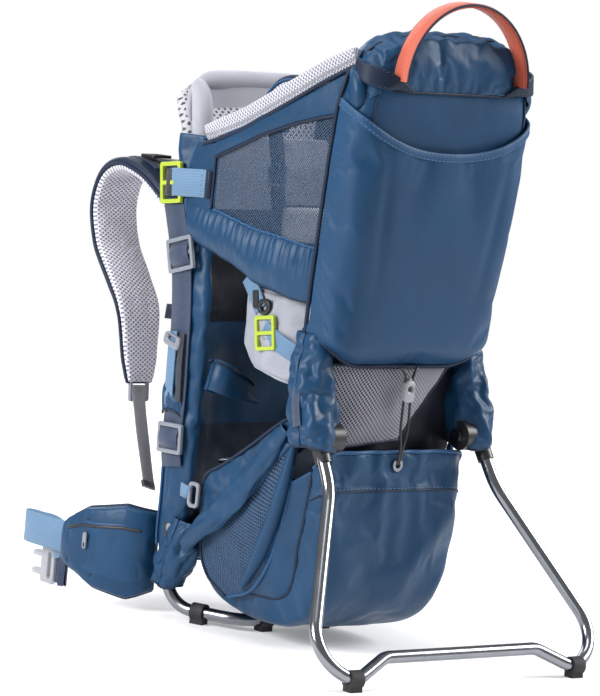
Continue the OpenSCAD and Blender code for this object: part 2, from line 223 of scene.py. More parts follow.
MAT = {
    "blue": nylon("pack_cloth_blue", rgb(25, 64, 99), rough=0.43),
    "blue_soft": nylon("pack_cloth_soft", rgb(22, 60, 93), rough=0.38, crinkle=0.35),
    "blue_trim": nylon("trim_blue", rgb(36, 74, 112), rough=0.5, crinkle=0.1),
    "navy": nylon("pack_cloth_navy", rgb(20, 33, 54), rough=0.5),
    "ink": nylon("lining_ink", rgb(14, 19, 33), rough=0.6, sheen=0.1),
    "lining": nylon("lining_pale", rgb(214, 214, 218), rough=0.65, crinkle=0.3, pale_gain=1.05),
    "seat_pale": nylon("seat_cloth_pale", rgb(148, 151, 161), rough=0.6, crinkle=0.5, pale_gain=1.05),
    "web_light": webbing("webbing_light", rgb(88, 124, 158), rgb(112, 146, 178)),
    "web_navy": webbing("webbing_navy", rgb(32, 50, 78)),
    "web_dark": webbing("webbing_dark", rgb(28, 33, 44)),
    "web_grey": webbing("webbing_grey", rgb(120, 122, 126)),
    "web_orange": webbing("webbing_orange", rgb(196, 84, 60), rgb(212, 108, 80)),
    "rim": air_mesh("air_mesh_rim", rgb(196, 196, 206), rgb(112, 114, 128), 0.0064, 0.0044, 0.26),
    "strap_mesh": air_mesh("air_mesh_strap", rgb(214, 212, 222), rgb(124, 123, 136), 0.0066, 0.0050, 0.23),
    "chin_mesh": air_mesh("air_mesh_chin", rgb(176, 175, 182), rgb(66, 66, 76), 0.0080, 0.0080, 0.20),
    "window": net("window_net", rgb(62, 86, 116), 0.0036, 0.0036, 0.31),
    "pocket_net": net("pocket_net", rgb(66, 94, 128), 0.0056, 0.0044, 0.29),
    "check": net("check_net", rgb(152, 153, 164), 0.0047, 0.0047, 0.27, dark=0.8),
    "velour": velour("velour_grey", rgb(148, 149, 158)),
    "grey": plastic("plastic_grey", rgb(118, 123, 133), 0.32),
    "grey_pale": plastic("plastic_grey_pale", rgb(150, 152, 158), 0.34),
    "black": plastic("plastic_black", rgb(22, 23, 26), 0.38),
    "lime": plastic("plastic_lime", rgb(160, 178, 52), 0.32),
    "amber": plastic("plastic_orange", rgb(222, 98, 48)),
    "rubber": rubber("rubber_black", rgb(20, 20, 22)),
    "tube": metal("tube_polished", rgb(138, 141, 147)),
    "thread": webbing("thread_pale", rgb(96, 128, 164)),
}
# The record's material slot for each look. Cords name theirs themselves.
SLOT = {"blue": "blue_nylon", "blue_soft": "blue_nylon", "window": "blue_nylon", "navy": "navy_nylon",
        "ink": "navy_nylon", "lining": "seat_fabric", "seat_pale": "seat_fabric",
        "web_light": "light_webbing",
        "web_navy": "navy_webbing", "web_dark": "navy_webbing", "web_grey": "navy_webbing",
        "web_orange": "orange_webbing", "rim": "air_mesh", "strap_mesh": "air_mesh", "chin_mesh": "air_mesh",
        "pocket_net": "net", "check": "net", "velour": "velour", "grey": "grey_plastic",
        "black": "black_plastic", "lime": "lime_plastic", "amber": "orange_plastic"}


# ---------------------------------------------------------------- mesh helpers, all in millimetres
def unit(v):
    return v / np.maximum(np.linalg.norm(v, axis=-1, keepdims=True), 1e-9)


def bell(x, at, width):
    return exp(-((x - at) / width) ** 2)


def grid(vs, us, point):
    """Array of the points point(v, u)."""
    return V([[point(v, u) for u in us] for v in vs], float)


def box(node):
    """Low and high corner of a CAD node, and its middle."""
    lo, hi = (V(c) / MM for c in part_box(node))
    return lo, hi, (lo + hi) / 2


def flipped(points, sign):
    """Points written for the right side, on the left (-1) or the right (1)."""
    return V(points, float) * V([sign, 1.0, 1.0])


def steps(p):
    """Length along a path at each of its points."""
    return np.r_[0, np.cumsum(np.linalg.norm(np.diff(p, axis=0), axis=1))]


def even(p, count):
    p = V(p, float)
    at = steps(p)
    return np.stack([interp(linspace(0, at[-1], count), at, p[:, k]) for k in range(p.shape[1])], 1)


def smooth_path(points, count):
    """Centripetal curve through the points, as count points evenly spaced along its length."""
    p = V(points, float)
    if len(p) == 2:
        return even(p, count)

    def between(a, b, ta, tb):
        return (tb - t) / (tb - ta) * a + (t - ta) / (tb - ta) * b

    ext = np.vstack([2 * p[0] - p[1], p, 2 * p[-1] - p[-2]])
    fine = []
    for i in range(len(ext) - 3):
        q = ext[i: i + 4]
        k = np.r_[0, np.cumsum(np.maximum(np.linalg.norm(np.diff(q, axis=0), axis=1), 1e-9) ** 0.5)]
        for t in linspace(k[1], k[2], 16, endpoint=False):
            a, b, c = [between(q[j], q[j + 1], k[j], k[j + 1]) for j in range(3)]
            fine.append(between(between(a, b, k[0], k[2]), between(b, c, k[1], k[3]), k[1], k[2]))
    return even(fine + [p[-1]], count)


def shares(count, at, values):
    """Values at even steps from 0 to 1, read between the given ones."""
    return interp(linspace(0, 1, count), at, values)


def read_table(x, table):
    """Values at x from (x, value...) rows."""
    t = V(table, float)
    return V([interp(x, t[:, 0], t[:, k]) for k in range(1, t.shape[1])])


def place(ob, body, slot):
    bpy.context.scene.collection.objects.link(ob)
    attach(ob, body)
    return ob


def build(name, verts, faces, mat, uvs, body="pack", slot=None):
    """Mesh object. uvs is one pair in metres per vertex."""
    mesh = bpy.data.meshes.new(name)
    mesh.from_pydata((V(verts, float) * MM).reshape(-1, 3).tolist(), [], [list(map(int, f)) for f in faces])
    loops = np.zeros(len(mesh.loops), np.int64)
    mesh.loops.foreach_get("vertex_index", loops)
    mesh.uv_layers.new(name="UVMap").data.foreach_set("uv", V(uvs, float).reshape(-1, 2)[loops].ravel())
    mesh.polygons.foreach_set("use_smooth", [True] * len(mesh.polygons))
    mesh.materials.append(MAT[mat])
    mesh.validate()
    return place(bpy.data.objects.new(name, mesh), body, slot)


def clean(mesh, merge=None):
    """Joins points closer than merge and turns all faces outwards."""
    bm = bmesh.new()
    bm.from_mesh(mesh)
    if merge:
        bmesh.ops.remove_doubles(bm, verts=bm.verts, dist=merge)
    bmesh.ops.recalc_face_normals(bm, faces=bm.faces)
    bm.to_mesh(mesh)
    bm.free()


def rounder(ob, levels):
    sub = ob.modifiers.new("round", "SUBSURF")
    sub.levels = sub.render_levels = levels
    return ob


def grid_faces(rows, cols, wrap=False, start=0):
    r, c = np.meshgrid(np.arange(rows - 1), np.arange(cols if wrap else cols - 1), indexing="ij")
    r, c = r.ravel(), c.ravel()
    d = (c + 1) % cols
    return (start + V([r * cols + c, r * cols + d, (r + 1) * cols + d, (r + 1) * cols + c]).T).tolist()


def tube_faces(rows, cols, capped=True):
    faces = grid_faces(rows, cols, wrap=True)
    if capped:
        faces += [list(range(cols))[::-1], [(rows - 1) * cols + k for k in range(cols)]]
    return faces


def lengths(P):
    """UV in metres from the lengths along both ways of a grid."""
    du = np.linalg.norm(np.diff(P, axis=1), axis=2)
    dv = np.linalg.norm(np.diff(P, axis=0), axis=2)
    u = np.concatenate([np.zeros((P.shape[0], 1)), np.cumsum(du, 1)], 1)
    v = np.concatenate([np.zeros((1, P.shape[1])), np.cumsum(dv, 0)], 0)
    return np.stack([u - u[:, -1:] / 2, v], 2) * MM


def grid_normals(P):
    return unit(np.cross(np.gradient(P, axis=1), np.gradient(P, axis=0)))


def outline(P):
    """The four edges of a grid as one path."""
    return np.vstack([P[:, 0], P[-1, 1:], P[::-1, -1][1:], P[0, ::-1][1:]])


def sheet(name, P, mat, thick=2.0, levels=1, slot=None):
    """Cloth sheet from a grid of points, given a thickness and rounded off."""
    P = V(P, float)
    ob = build(name, P, grid_faces(*P.shape[:2]), mat, lengths(P), slot=slot or SLOT[mat])
    mod = ob.modifiers.new("thick", "SOLIDIFY")
    mod.thickness = thick * MM
    mod.offset = 0.0
    return rounder(ob, levels) if levels else ob


def wrinkle(P, amount, scale, seed=0.0, weight=None, stretch=(1, 1, 1)):
    """Moves a grid along its normals by soft noise, by amount, with features of the size scale."""
    n = grid_normals(P)
    out = P.copy()
    for i, j in np.ndindex(*P.shape[:2]):
        q = Vector(P[i, j] * V(stretch) / scale) + Vector((seed, seed * 1.7, -seed))
        h = noise.noise(q) + 0.5 * noise.noise(q * 2.1)
        out[i, j] += n[i, j] * h * amount * (1.0 if weight is None else weight[i, j])
    return out


def pad(name, P, thick, mat, body="pack", slot=None, power=2.6, piping=None, piping_r=1.6, puff=1.0, **cloth):
    """Closed crowned pad about a mid surface: full in the middle and drawn in to the seam at its edge.
    With settings for the cloth simulation, the pad is filled out by it."""
    P = V(P, float)
    rows, cols = P.shape[:2]
    slot = slot or SLOT[mat]
    u = linspace(-1, 1, cols)[None, :]
    v = linspace(-1, 1, rows)[:, None]
    h = ((1 - np.abs(u) ** power) * (1 - np.abs(v) ** power)) ** (1 / power) * thick / 2 * puff
    lift = grid_normals(P) * h[..., None]
    uv = lengths(P)
    index = np.arange(rows * cols).reshape(rows, cols)
    ring = np.r_[index[0], index[1:, -1], index[-1, -2::-1], index[-2:0:-1, 0]]
    size = rows * cols
    faces = grid_faces(rows, cols) + [f[::-1] for f in grid_faces(rows, cols, start=size)]
    faces += [[ring[k], ring[k - 1], ring[k - 1] + size, ring[k] + size] for k in range(len(ring))]
    ob = build(name, V([P + lift, P - lift]), faces, mat, V([uv, uv]), body, slot)
    clean(ob.data, 1e-5)
    if piping:
        rim = P.reshape(-1, 3)[ring]
        cord(name + "_piping", np.vstack([rim, rim[:1]]), piping_r, piping, body, slot, closed=True)
    return simulate(ob, pins=seam_pins(ob, P), **cloth) if cloth else ob


def frames_along(p, up=Z):
    """Tangents and a steady side vector along a path."""
    t = unit(np.gradient(p, axis=0))
    ref = V(up, float)
    if abs(np.dot(ref, t[0])) > 0.95:
        ref = V([1.0, 0.0, 0.0])
    s = unit(np.cross(t[0], ref))
    side = np.zeros_like(p)
    for i in range(len(p)):
        s = unit(s - np.dot(s, t[i]) * t[i])
        side[i] = s
    return t, side


def cord(name, points, r, mat, body="pack", slot=None, closed=False, sides=10, count=None, smooth=False):
    """Round cord or piping along points. r may be one radius or one for each point."""
    p = smooth_path(points, count) if smooth else V(points, float)
    if count and not smooth:
        p = even(p, count)
    t, s = frames_along(p)
    b = np.cross(t, s)
    a = linspace(0, 2 * pi, sides, endpoint=False)
    r = np.broadcast_to(V(r, float), (len(p),))
    ring = (s[:, None] * np.cos(a)[None, :, None] + b[:, None] * np.sin(a)[None, :, None]) * r[:, None, None]
    uv = np.stack(np.broadcast_arrays(a[None, :] * r[:, None], steps(p)[:, None]), 2) * MM
    return build(name, p[:, None] + ring, tube_faces(len(p), sides, not closed), mat, uv, body, slot)


def strap(name, points, width, thick, mat, flat, body="pack", slot=None, count=None, smooth=True, wide=None):
    """Webbing along points. flat is the direction its flat side faces: one vector, or one for each point."""
    n = count or 6 * len(points)
    p = smooth_path(points, n) if smooth else even(points, n)
    flat = V(flat, float)
    if flat.ndim > 1 and len(flat) != n:
        flat = smooth_path(flat, n)
    t = unit(np.gradient(p, axis=0))
    f = unit(flat - np.sum(flat * t, 1, keepdims=True) * t)
    s = np.cross(t, f)
    half = shares(n, linspace(0, 1, len(wide)), wide) / 2 if wide is not None else np.full(n, width / 2)
    h, e = thick / 2, min(0.7, thick / 3)
    # section with broken corners: side, way in from the side, height
    shape = [(-1, 0, e - h), (-1, e, -h), (1, -e, -h), (1, 0, e - h), (1, 0, h - e), (1, -e, h), (-1, e, h),
             (-1, 0, h - e)]
    P = np.stack([p + s * (half * k + d)[:, None] + f * z for k, d, z in shape], 1)
    u = np.stack([half * k for k, d, z in shape], 1)
    uv = np.stack(np.broadcast_arrays(u, steps(p)[:, None]), 2) * MM
    ob = build(name, P, tube_faces(n, 8), mat, uv, body, slot or SLOT.get(mat))
    for face in ob.data.polygons:
        if len(face.vertices) == 8:
            face.use_smooth = False
    ob.modifiers.new("crisp", "EDGE_SPLIT").split_angle = radians(50)
    return ob


def dashes(name, points, mat="thread", r=0.45, body="pack", size=3.2, gap=2.2):
    """A row of stitches along a path, each a short raised thread."""
    p = V(points, float)
    count = max(1, int(steps(p)[-1] / (size + gap)))
    fine = even(p, count * 4 + 1)
    verts, faces, uvs = [], [], []
    for k in range(count):
        a, b = fine[k * 4], fine[k * 4 + 2]
        t = unit(b - a)
        s = unit(np.cross(t, [0.3, 0.5, 0.81]))
        q = np.cross(t, s)
        base = len(verts)
        for end, share in ((a, 0.35), ((a + b) / 2, 1.0), (b, 0.35)):
            for w in range(6):
                turn = w * pi / 3
                verts.append(end + (s * cos(turn) + q * sin(turn)) * r * share)
                uvs.append((w * r * MM, k * size * MM))
        faces += [[base + i for i in f] for f in tube_faces(3, 6)]
    return build(name, verts, faces, mat, uvs, body)


def circle(r, n, high=None, cy=0.0):
    return [(r * cos(a), (high or r) * sin(a) + cy) for a in linspace(0, 2 * pi, n, endpoint=False)]


def rounded(w, h, r, n=5, cx=0.0, cy=0.0):
    out = []
    for sx, sy, start in ((1, 1, 0), (-1, 1, 90), (-1, -1, 180), (1, -1, 270)):
        for a in np.radians(linspace(start, start + 90, n + 1)):
            out.append((cx + sx * (w / 2 - r) + r * cos(a), cy + sy * (h / 2 - r) + r * sin(a)))
    return out


def plate(name, loops, thick, mat, origin, x_dir=X, y_dir=Z, body="pack", slot=None, bevel=0.8):
    """Flat moulding with rounded edges: the first loop is its outline and the others are its holes."""
    curve = bpy.data.curves.new(name, "CURVE")
    curve.dimensions = "2D"
    curve.fill_mode = "BOTH"
    for k, loop in enumerate(loops):
        sp = curve.splines.new("POLY")
        sp.points.add(len(loop) - 1)
        for q, (x, y) in zip(sp.points, loop[::-1] if k else loop):
            q.co = (x * MM, y * MM, 0, 1)
        sp.use_cyclic_u = True
    bevel = min(bevel, thick * 0.45)
    curve.extrude = (thick / 2 - bevel) * MM
    curve.bevel_depth = bevel * MM
    curve.bevel_resolution = 3
    curve.offset = -bevel * MM
    draft = bpy.data.objects.new(name + "_draft", curve)
    bpy.context.scene.collection.objects.link(draft)
    bpy.context.view_layer.update()
    mesh = bpy.data.meshes.new_from_object(draft.evaluated_get(bpy.context.evaluated_depsgraph_get()))
    bpy.data.objects.remove(draft)
    x, y = Vector(x_dir).normalized(), Vector(y_dir)
    y = (y - y.dot(x) * x).normalized()
    m = Matrix((x, y, x.cross(y))).transposed().to_4x4()
    m.translation = Vector(origin) * MM
    mesh.transform(m)
    mesh.materials.clear()
    mesh.materials.append(MAT[mat])
    clean(mesh, 1e-6)
    mesh.polygons.foreach_set("use_smooth", [True] * len(mesh.polygons))
    ob = bpy.data.objects.new(name, mesh)
    ob.modifiers.new("crisp", "EDGE_SPLIT").split_angle = radians(40)
    return place(ob, body, slot or SLOT[mat])


def ladder_lock(name, origin, x_dir, y_dir, w, h, thick, mat, body="pack", rim=3.6):
    """Strap adjuster: a frame with a middle bar, and webbing can pass both sides of the bar."""
    tall = (h - 3 * rim) / 2
    holes = [rounded(w - 2 * rim, tall, 1.2, cy=s * (tall + rim) / 2) for s in (-1, 1)]
    return plate(name, [rounded(w, h, 3.0)] + holes, thick, mat, origin, x_dir, y_dir, body)


def loft(name, path, section, flat, mat, scale, count):
    """Sweeps a closed section (x across, y along flat) down a path. scale shrinks it along the way."""
    p = smooth_path(path, count)
    t = unit(np.gradient(p, axis=0))
    flat = V(flat, float)
    f = unit(flat - np.sum(flat * t, 1, keepdims=True) * t)
    s = np.cross(t, f)
    sec = V(section, float)
    k = shares(count, linspace(0, 1, len(scale)), scale)[:, None, None]
    P = p[:, None] + (s[:, None] * sec[None, :, :1] + f[:, None] * sec[None, :, 1:]) * k
    uv = np.stack(np.broadcast_arrays(steps(sec)[None, :], steps(p)[:, None]), 2) * MM
    ob = build(name, P, tube_faces(count, len(sec)), mat, uv, slot=SLOT[mat])
    clean(ob.data)
    return rounder(ob, 1)


def simulate(ob, pressure=4.0, cap=6.0, grow=0.0, pins=None, bend=0.4, frames=20, stiff=12.0):
    """Cloth simulation on a finished mesh, its result written back to the mesh. Pinned points hold still,
    grow
    gives the cloth spare length so that it buckles into folds, and cap limits how far a point may move."""
    mesh = ob.data
    rest = np.zeros(len(mesh.vertices) * 3)
    mesh.vertices.foreach_get("co", rest)
    rest = rest.reshape(-1, 3)
    others = [(m, m.show_viewport) for m in ob.modifiers]
    for m, shown in others:
        m.show_viewport = False
    if pins is None:
        bm = bmesh.new()
        bm.from_mesh(mesh)
        pins = [v.index for v in bm.verts if v.is_boundary]
        bm.free()
    group = ob.vertex_groups.new(name="pins")
    group.add([int(k) for k in pins], 1.0, "REPLACE")
    mod = ob.modifiers.new("cloth", "CLOTH")
    cloth = mod.settings
    cloth.quality = 5
    cloth.mass = 0.2
    cloth.tension_stiffness = cloth.compression_stiffness = stiff
    cloth.shear_stiffness = stiff / 3
    cloth.bending_stiffness = bend
    cloth.air_damping = 2.0
    cloth.shrink_min = -grow
    cloth.vertex_group_mass = "pins"
    cloth.use_pressure = pressure != 0
    cloth.uniform_pressure_force = pressure
    cloth.effector_weights.gravity = 0
    mod.collision_settings.use_self_collision = False
    mod.point_cache.frame_start = 1
    mod.point_cache.frame_end = frames
    for f in range(1, frames + 1):
        bpy.context.scene.frame_set(f)
    now = np.zeros(rest.size)
    ob.evaluated_get(bpy.context.evaluated_depsgraph_get()).data.vertices.foreach_get("co", now)
    move = now.reshape(-1, 3) - rest
    move[~np.isfinite(move).all(1)] = 0
    far = np.linalg.norm(move, axis=1, keepdims=True)
    limit = cap * MM
    move *= np.where(far > 1e-9, limit * np.tanh(far / limit) / np.maximum(far, 1e-9), 0)
    ob.modifiers.remove(mod)
    ob.vertex_groups.remove(group)
    mesh.vertices.foreach_set("co", (rest + move).ravel())
    mesh.update()
    for m, shown in others:
        m.show_viewport = shown
    bpy.context.scene.frame_set(1)
    return ob


def seam_pins(ob, P, reach=1.2):
    """Points of a pad that lie on the seam around its mid surface P, so that its binding stays on them."""
    ring = np.vstack([P[:, 0], P[:, -1], P[0], P[-1]]) * MM
    co = np.zeros(len(ob.data.vertices) * 3)
    ob.data.vertices.foreach_get("co", co)
    co = co.reshape(-1, 3)
    near = np.full(len(co), 1e9)
    for k in range(0, len(ring), 40):
        near = np.minimum(near, np.linalg.norm(co[:, None] - ring[None, k:k + 40], axis=2).min(1))
    return np.nonzero(near < reach * MM)[0]


# ---------------------------------------------------------------- frame and stand
def finish_frame():
    """The CAD nodes whose shape is right stay, with their real finish."""
    finishes = {
        "tube": "main_frame rear_frame cross_stays stand_tube frame_bolts pivot_bolts cord_eyelet",
        "black": "frame_brackets hub_housings stand_knuckles",
        "rubber": "base_feet stand_feet",
    }
    for mat, nodes in finishes.items():
        for node in nodes.split():
            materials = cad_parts[node].data.materials
            materials.clear()
            materials.append(MAT[mat])


# ---------------------------------------------------------------- rear panel, pocket and hood
# Rear panel section by height: middle y, edge y and half width
REAR = [(318, -146, -112, 100), (340, -157, -114, 111), (400, -162, -119, 114), (470, -172, -127, 117),
        (540, -179, -133, 118), (600, -184, -139, 118), (640, -185, -146, 112)]


def rear_outline(power=7.0, half=118, depth=45):
    """Squared-off half section of the panel: shares of its width and depth, evenly spaced along its
    length."""
    a = linspace(0, pi / 2, 400)
    p = even(np.stack([np.sin(a) ** (2 / power) * half, (1 - np.cos(a) ** (2 / power)) * depth], 1), 120)
    return p[:, 0] / half, p[:, 1] / depth


REAR_WIDE, REAR_DEEP = rear_outline()


def rear_share(x):
    """How far round the panel's section x is: share of its half width, and share of its depth."""
    at = linspace(0, 1, 120)
    return interp(abs(x), at, REAR_WIDE), interp(abs(x), at, REAR_DEEP)


def rear_point(x, z, out=0.0):
    """Point of the rear panel at x from -1 to 1 round its section and height z, moved out by some mm."""
    mid, edge, half = read_table(z, REAR)
    wide, deep = rear_share(x)
    y = mid + (edge - mid) * deep
    return V([copysign(wide, x) * (half + out * 0.6 * wide ** 4), y - out * (1 - 0.6 * deep), z])


def rear_panel():
    """Stretch pocket with a bound mouth, the panel behind it, the liner inside and the seams round them."""
    xs = linspace(-1, 1, 91)

    def low(x):
        wide, deep = rear_share(x)
        return 320 + 20 * max(0.0, (wide - 0.6) / 0.4) ** 2 + 14 * deep

    def mouth(x):
        wide, deep = rear_share(x)
        return 555.5 + 32.5 * wide ** 2.4 + 19 * deep

    def pocket(v, x):
        """Tight over the panel, its mouth standing a little open and its bottom rolled under."""
        flat = max(0.0, 1 - (abs(x) / 0.72) ** 4)
        gape = 3.0 * max(0.0, (v - 0.75) / 0.25) ** 2 * flat
        pull = 1.5 * sin(11 * x + 2.0) * bell(v, 0.86, 0.16) * flat
        sag = 2.2 * bell(abs(x), 0.46 + 0.10 * v, 0.05) * bell(v, 0.7, 0.3)
        out = 6.0 + gape + pull - sag + 2.5 * flat * sin(pi * v)
        roll = 13 * (1 - min(1.0, v / 0.045)) ** 2
        return rear_point(x, low(x) + (mouth(x) - low(x)) * v, out) + V([0, roll, 0])

    P = wrinkle(grid(linspace(0, 1, 64), xs, pocket), 1.1, 70.0, 3.0, stretch=(1.0, 1.0, 0.45))
    panel = sheet("rear_pocket", P, "blue", 1.6)
    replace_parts(simulate(panel, pressure=1.0, cap=4.0, grow=0.010, bend=1.5), "rear_panel")

    edge = P[-1]
    flat = np.cross(np.gradient(edge, axis=0), V([0, 0, 1.0]))
    flat = unit(flat * np.sign(np.sum(flat * (edge - V([0, 0, 575])), 1, keepdims=True)))
    strap("rear_pocket_binding", edge + flat * 0.8 + V([0, 0, -3.5]), 9.5, 3.2, "blue_trim", flat, count=91,
          smooth=False)
    for word, z in (("low", -7.1), ("high", -0.1)):
        dashes("rear_pocket_stitch_" + word, edge + flat * 2.6 + V([0, 0, z]), r=0.3)

    Q = grid(linspace(440, 622, 34), xs, lambda z, x: rear_point(x, z, 1.0))
    sheet("rear_inner_panel", wrinkle(Q, 0.8, 60.0, 9.0), "blue", 1.5)
    for sign, word in SIDES:
        seam = [rear_point(sign * 0.70, z, 2.2) for z in linspace(556, 619, 14)]
        cord("rear_inner_seam_" + word, seam, 1.1, "navy", count=30)
    Q = grid(linspace(330, 598, 30), xs, lambda z, x: rear_point(x * 0.95, z, -9.0))
    sheet("rear_lining", Q, "lining", 1.5, slot="navy_nylon")
    bottom = [rear_point(x, low(x) + 1.5, 2.0) + V([0, 5.0, -2]) for x in xs]
    cord("rear_panel_bottom_seam", bottom, 2.6, "navy", count=90)
    for sign, word in SIDES:
        side = [rear_point(sign, z, 3.0) + V([sign * 1.5, 3.0, 0]) for z in linspace(345, 640, 30)]
        cord("rear_panel_seam_" + word, side, 2.4, "navy", count=60)


def hood():
    """Gathered dome over the rear panel: a creased front, a padded crown with short folds, and its inner
    wall."""
    cols, rows = 121, 54
    base, crown, half = 620.0, 685.0, 109.0

    def dome(v, a):
        x = half * sin(a * pi / 2) * 0.985
        rise = (1 - abs(x / half) ** 3.2) ** 0.27
        top = base + (crown - base) * rise
        tuck = 38 * abs(x / half) ** 9
        if v < 0.5:
            t = v / 0.5
            z = base + (top - 9 * rise - base) * t
            y = -187.5 - 3.0 * sin(pi * t) + 5 * t ** 2 + tuck
        elif v < 0.8:
            t = (v - 0.5) / 0.3
            dip = cos(t * pi / 2 * 1.3) if t < 0.77 else (t - 0.77) / 0.6
            z = top - 9 * rise * dip ** 2
            y = -182.5 + 26 * sin(t * pi / 2) + 8 * t + tuck * (1 - t)
        else:
            t = (v - 0.8) / 0.2
            z = top - 1.5 * rise - 15 * t ** 1.6 * (0.4 + 0.6 * rise)
            y = -148.5 + 24 * t * (0.5 + 0.5 * rise)
        fold = sin(a * 27 + 2.1 * sin(a * 5.3)) + 0.7 * sin(a * 47 + 1.4 * sin(a * 9) + 2.0)
        deep = 1.5 * bell(v, 0.56, 0.085) * (1 - abs(a) ** 8)
        return V([x, y, z]) + unit(V([0.2 * a, -0.8, 0.55])) * fold * deep

    ease = np.clip(linspace(-0.1, 2.0, rows)[:, None] * np.ones((1, cols)), 0, 1)
    P = wrinkle(grid(linspace(0, 1, rows), linspace(-1, 1, cols), dome), 2.0, 30.0, 5.0, ease)
    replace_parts(simulate(sheet("hood_dome", P, "blue"), pressure=0.6, cap=5.0, grow=0.035), "hood")
    cord("hood_fold_line", P[0, 6:-6] + V([0, -1.2, 0.4]), 1.5, "navy", count=90)
    rim = P[-1, ::2]
    drop = np.stack([0 * rim[:, 2], 0 * rim[:, 2], rim[:, 2] - 600], 1)
    B = V([rim + V([0, 3.0 * sin(pi * t), 0]) - drop * t for t in linspace(0, 1, 14)])
    sheet("hood_inner_wall", wrinkle(B, 2.0, 40.0, 7.0), "navy", 1.5)
    cord("hood_gather_seam", P[int(rows * 0.60)] + V([0, 0.0, 0.8]), 1.5, "navy", count=110)
    for sign, word in SIDES:
        # cloth that closes the corner between the dome, the rear panel and the cockpit rim
        corner = [(104, -186, 0), (114, -178, 0), (117.5, -160, 0), (115, -138, 0), (112, -112, 0)]
        line = smooth_path(flipped(corner, sign), 26)
        low = shares(26, [0, 0.4, 1], [618, 600, 604])
        high = shares(26, [0, 0.25, 0.6, 1], [642, 650, 652, 632])
        P = grid(linspace(0, 1, 20), range(26),
                 lambda v, i: line[i] + V([-sign * 9 * v * v, 2 * v, low[i] + (high[i] - low[i]) * v]))
        simulate(sheet("hood_side_" + word, wrinkle(P, 2.2, 24.0, 61.0 + sign), "blue_soft"), cap=3.0,
                 grow=0.04,
                 pressure=0.8)
        roll = flipped([(112, -146, 640), (117, -160, 630), (119, -168, 614), (118, -166, 598)], sign)
        rounder(cord("hood_corner_roll_" + word, roll, [4, 6.5, 8, 8.4, 8.4, 8, 7, 5.5, 3], "blue_soft",
                     slot="blue_nylon", sides=18, count=9, smooth=True), 2)


def handle():
    """Webbing loop over the hood, with its triangular anchors sewn to the shell."""
    lo, hi, mid = box("grab_handle")
    r = mid[0] - lo[0] - 1.8
    a = linspace(0, pi, 40)
    arc = np.stack([r * np.cos(a), np.full_like(a, mid[1]), lo[2] + r * np.sin(a)], 1)
    out = np.stack([np.cos(a), 0 * a, np.sin(a)], 1)
    loop = strap("handle_loop", arc, 22, 3.4, "web_orange", out, "handle", count=64, smooth=False)
    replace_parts(loop, "grab_handle")
    for word, y in (("rear", -11.2), ("front", 11.2)):
        cord("handle_edge_" + word, arc + V([0, y, 0]), 1.3, "navy", "handle", "orange_webbing", count=60)
    strap("handle_lining", arc - out * 2.6, 19, 1.6, "web_orange", out, "handle", count=64, smooth=False)
    for sign, word in SIDES:
        # anchor: webbing that runs from a point on the fold line up and round the corner of the shell
        low = [(62, -192.5, 620), (84, -193, 622), (106, -190.5, 622), (119, -176, 626), (119.5, -156, 634)]
        high = [(66, -193, 622), (84, -193.6, 634), (103, -191, 643), (117, -176, 647), (118, -156, 652)]
        low, high = smooth_path(flipped(low, sign), 20), smooth_path(flipped(high, sign), 20)
        sheet("handle_anchor_" + word, [low * (1 - k) + high * k for k in linspace(0, 1, 7)], "navy", 2.6)
        dashes("handle_anchor_stitch_" + word, low[1:14] + V([0, -1.7, 2.4]), "web_navy", 0.3)
        dashes("handle_anchor_stitch_high_" + word, high[2:14] + V([0, -1.7, -2.4]), "web_navy", 0.3)


# ---------------------------------------------------------------- cockpit
# Side wall of the cockpit by y, rear to front: x, top z, window top z, window low z, lower edge z
WALL = [(-140, 110, 634, 591, 440, 380), (-107, 117, 614, 583, 442, 383), (-72, 122, 595, 572, 446, 386),
        (-20, 126, 572, 553, 451, 396), (10, 127, 556, 539, 456, 408), (52, 127.5, 541, 521, 464, 418),
        (84, 127, 540, 523, 466, 428), (97, 126, 537, 523, 466, 440)]
TOP, WINDOW_TOP, WINDOW_LOW, LOWER = 1, 2, 3, 4


def wall_grid(sign, ys, rows, low, low_lift, high, high_lift, puff=0.0, out=0.0):
    """Grid over part of the wall, between two of its heights. Puff fills it outwards in the middle."""
    def point(v, y):
        wall = read_table(y, WALL)
        base = wall[low] + low_lift
        belly = puff * sin(pi * v) ** 0.7 * min(1.0, max(0.0, (y + 126) / 50))
        return sign * (wall[0] + out + belly), y, base + (wall[high] + high_lift - base) * v
    return grid(linspace(0, 1, rows), ys, point)


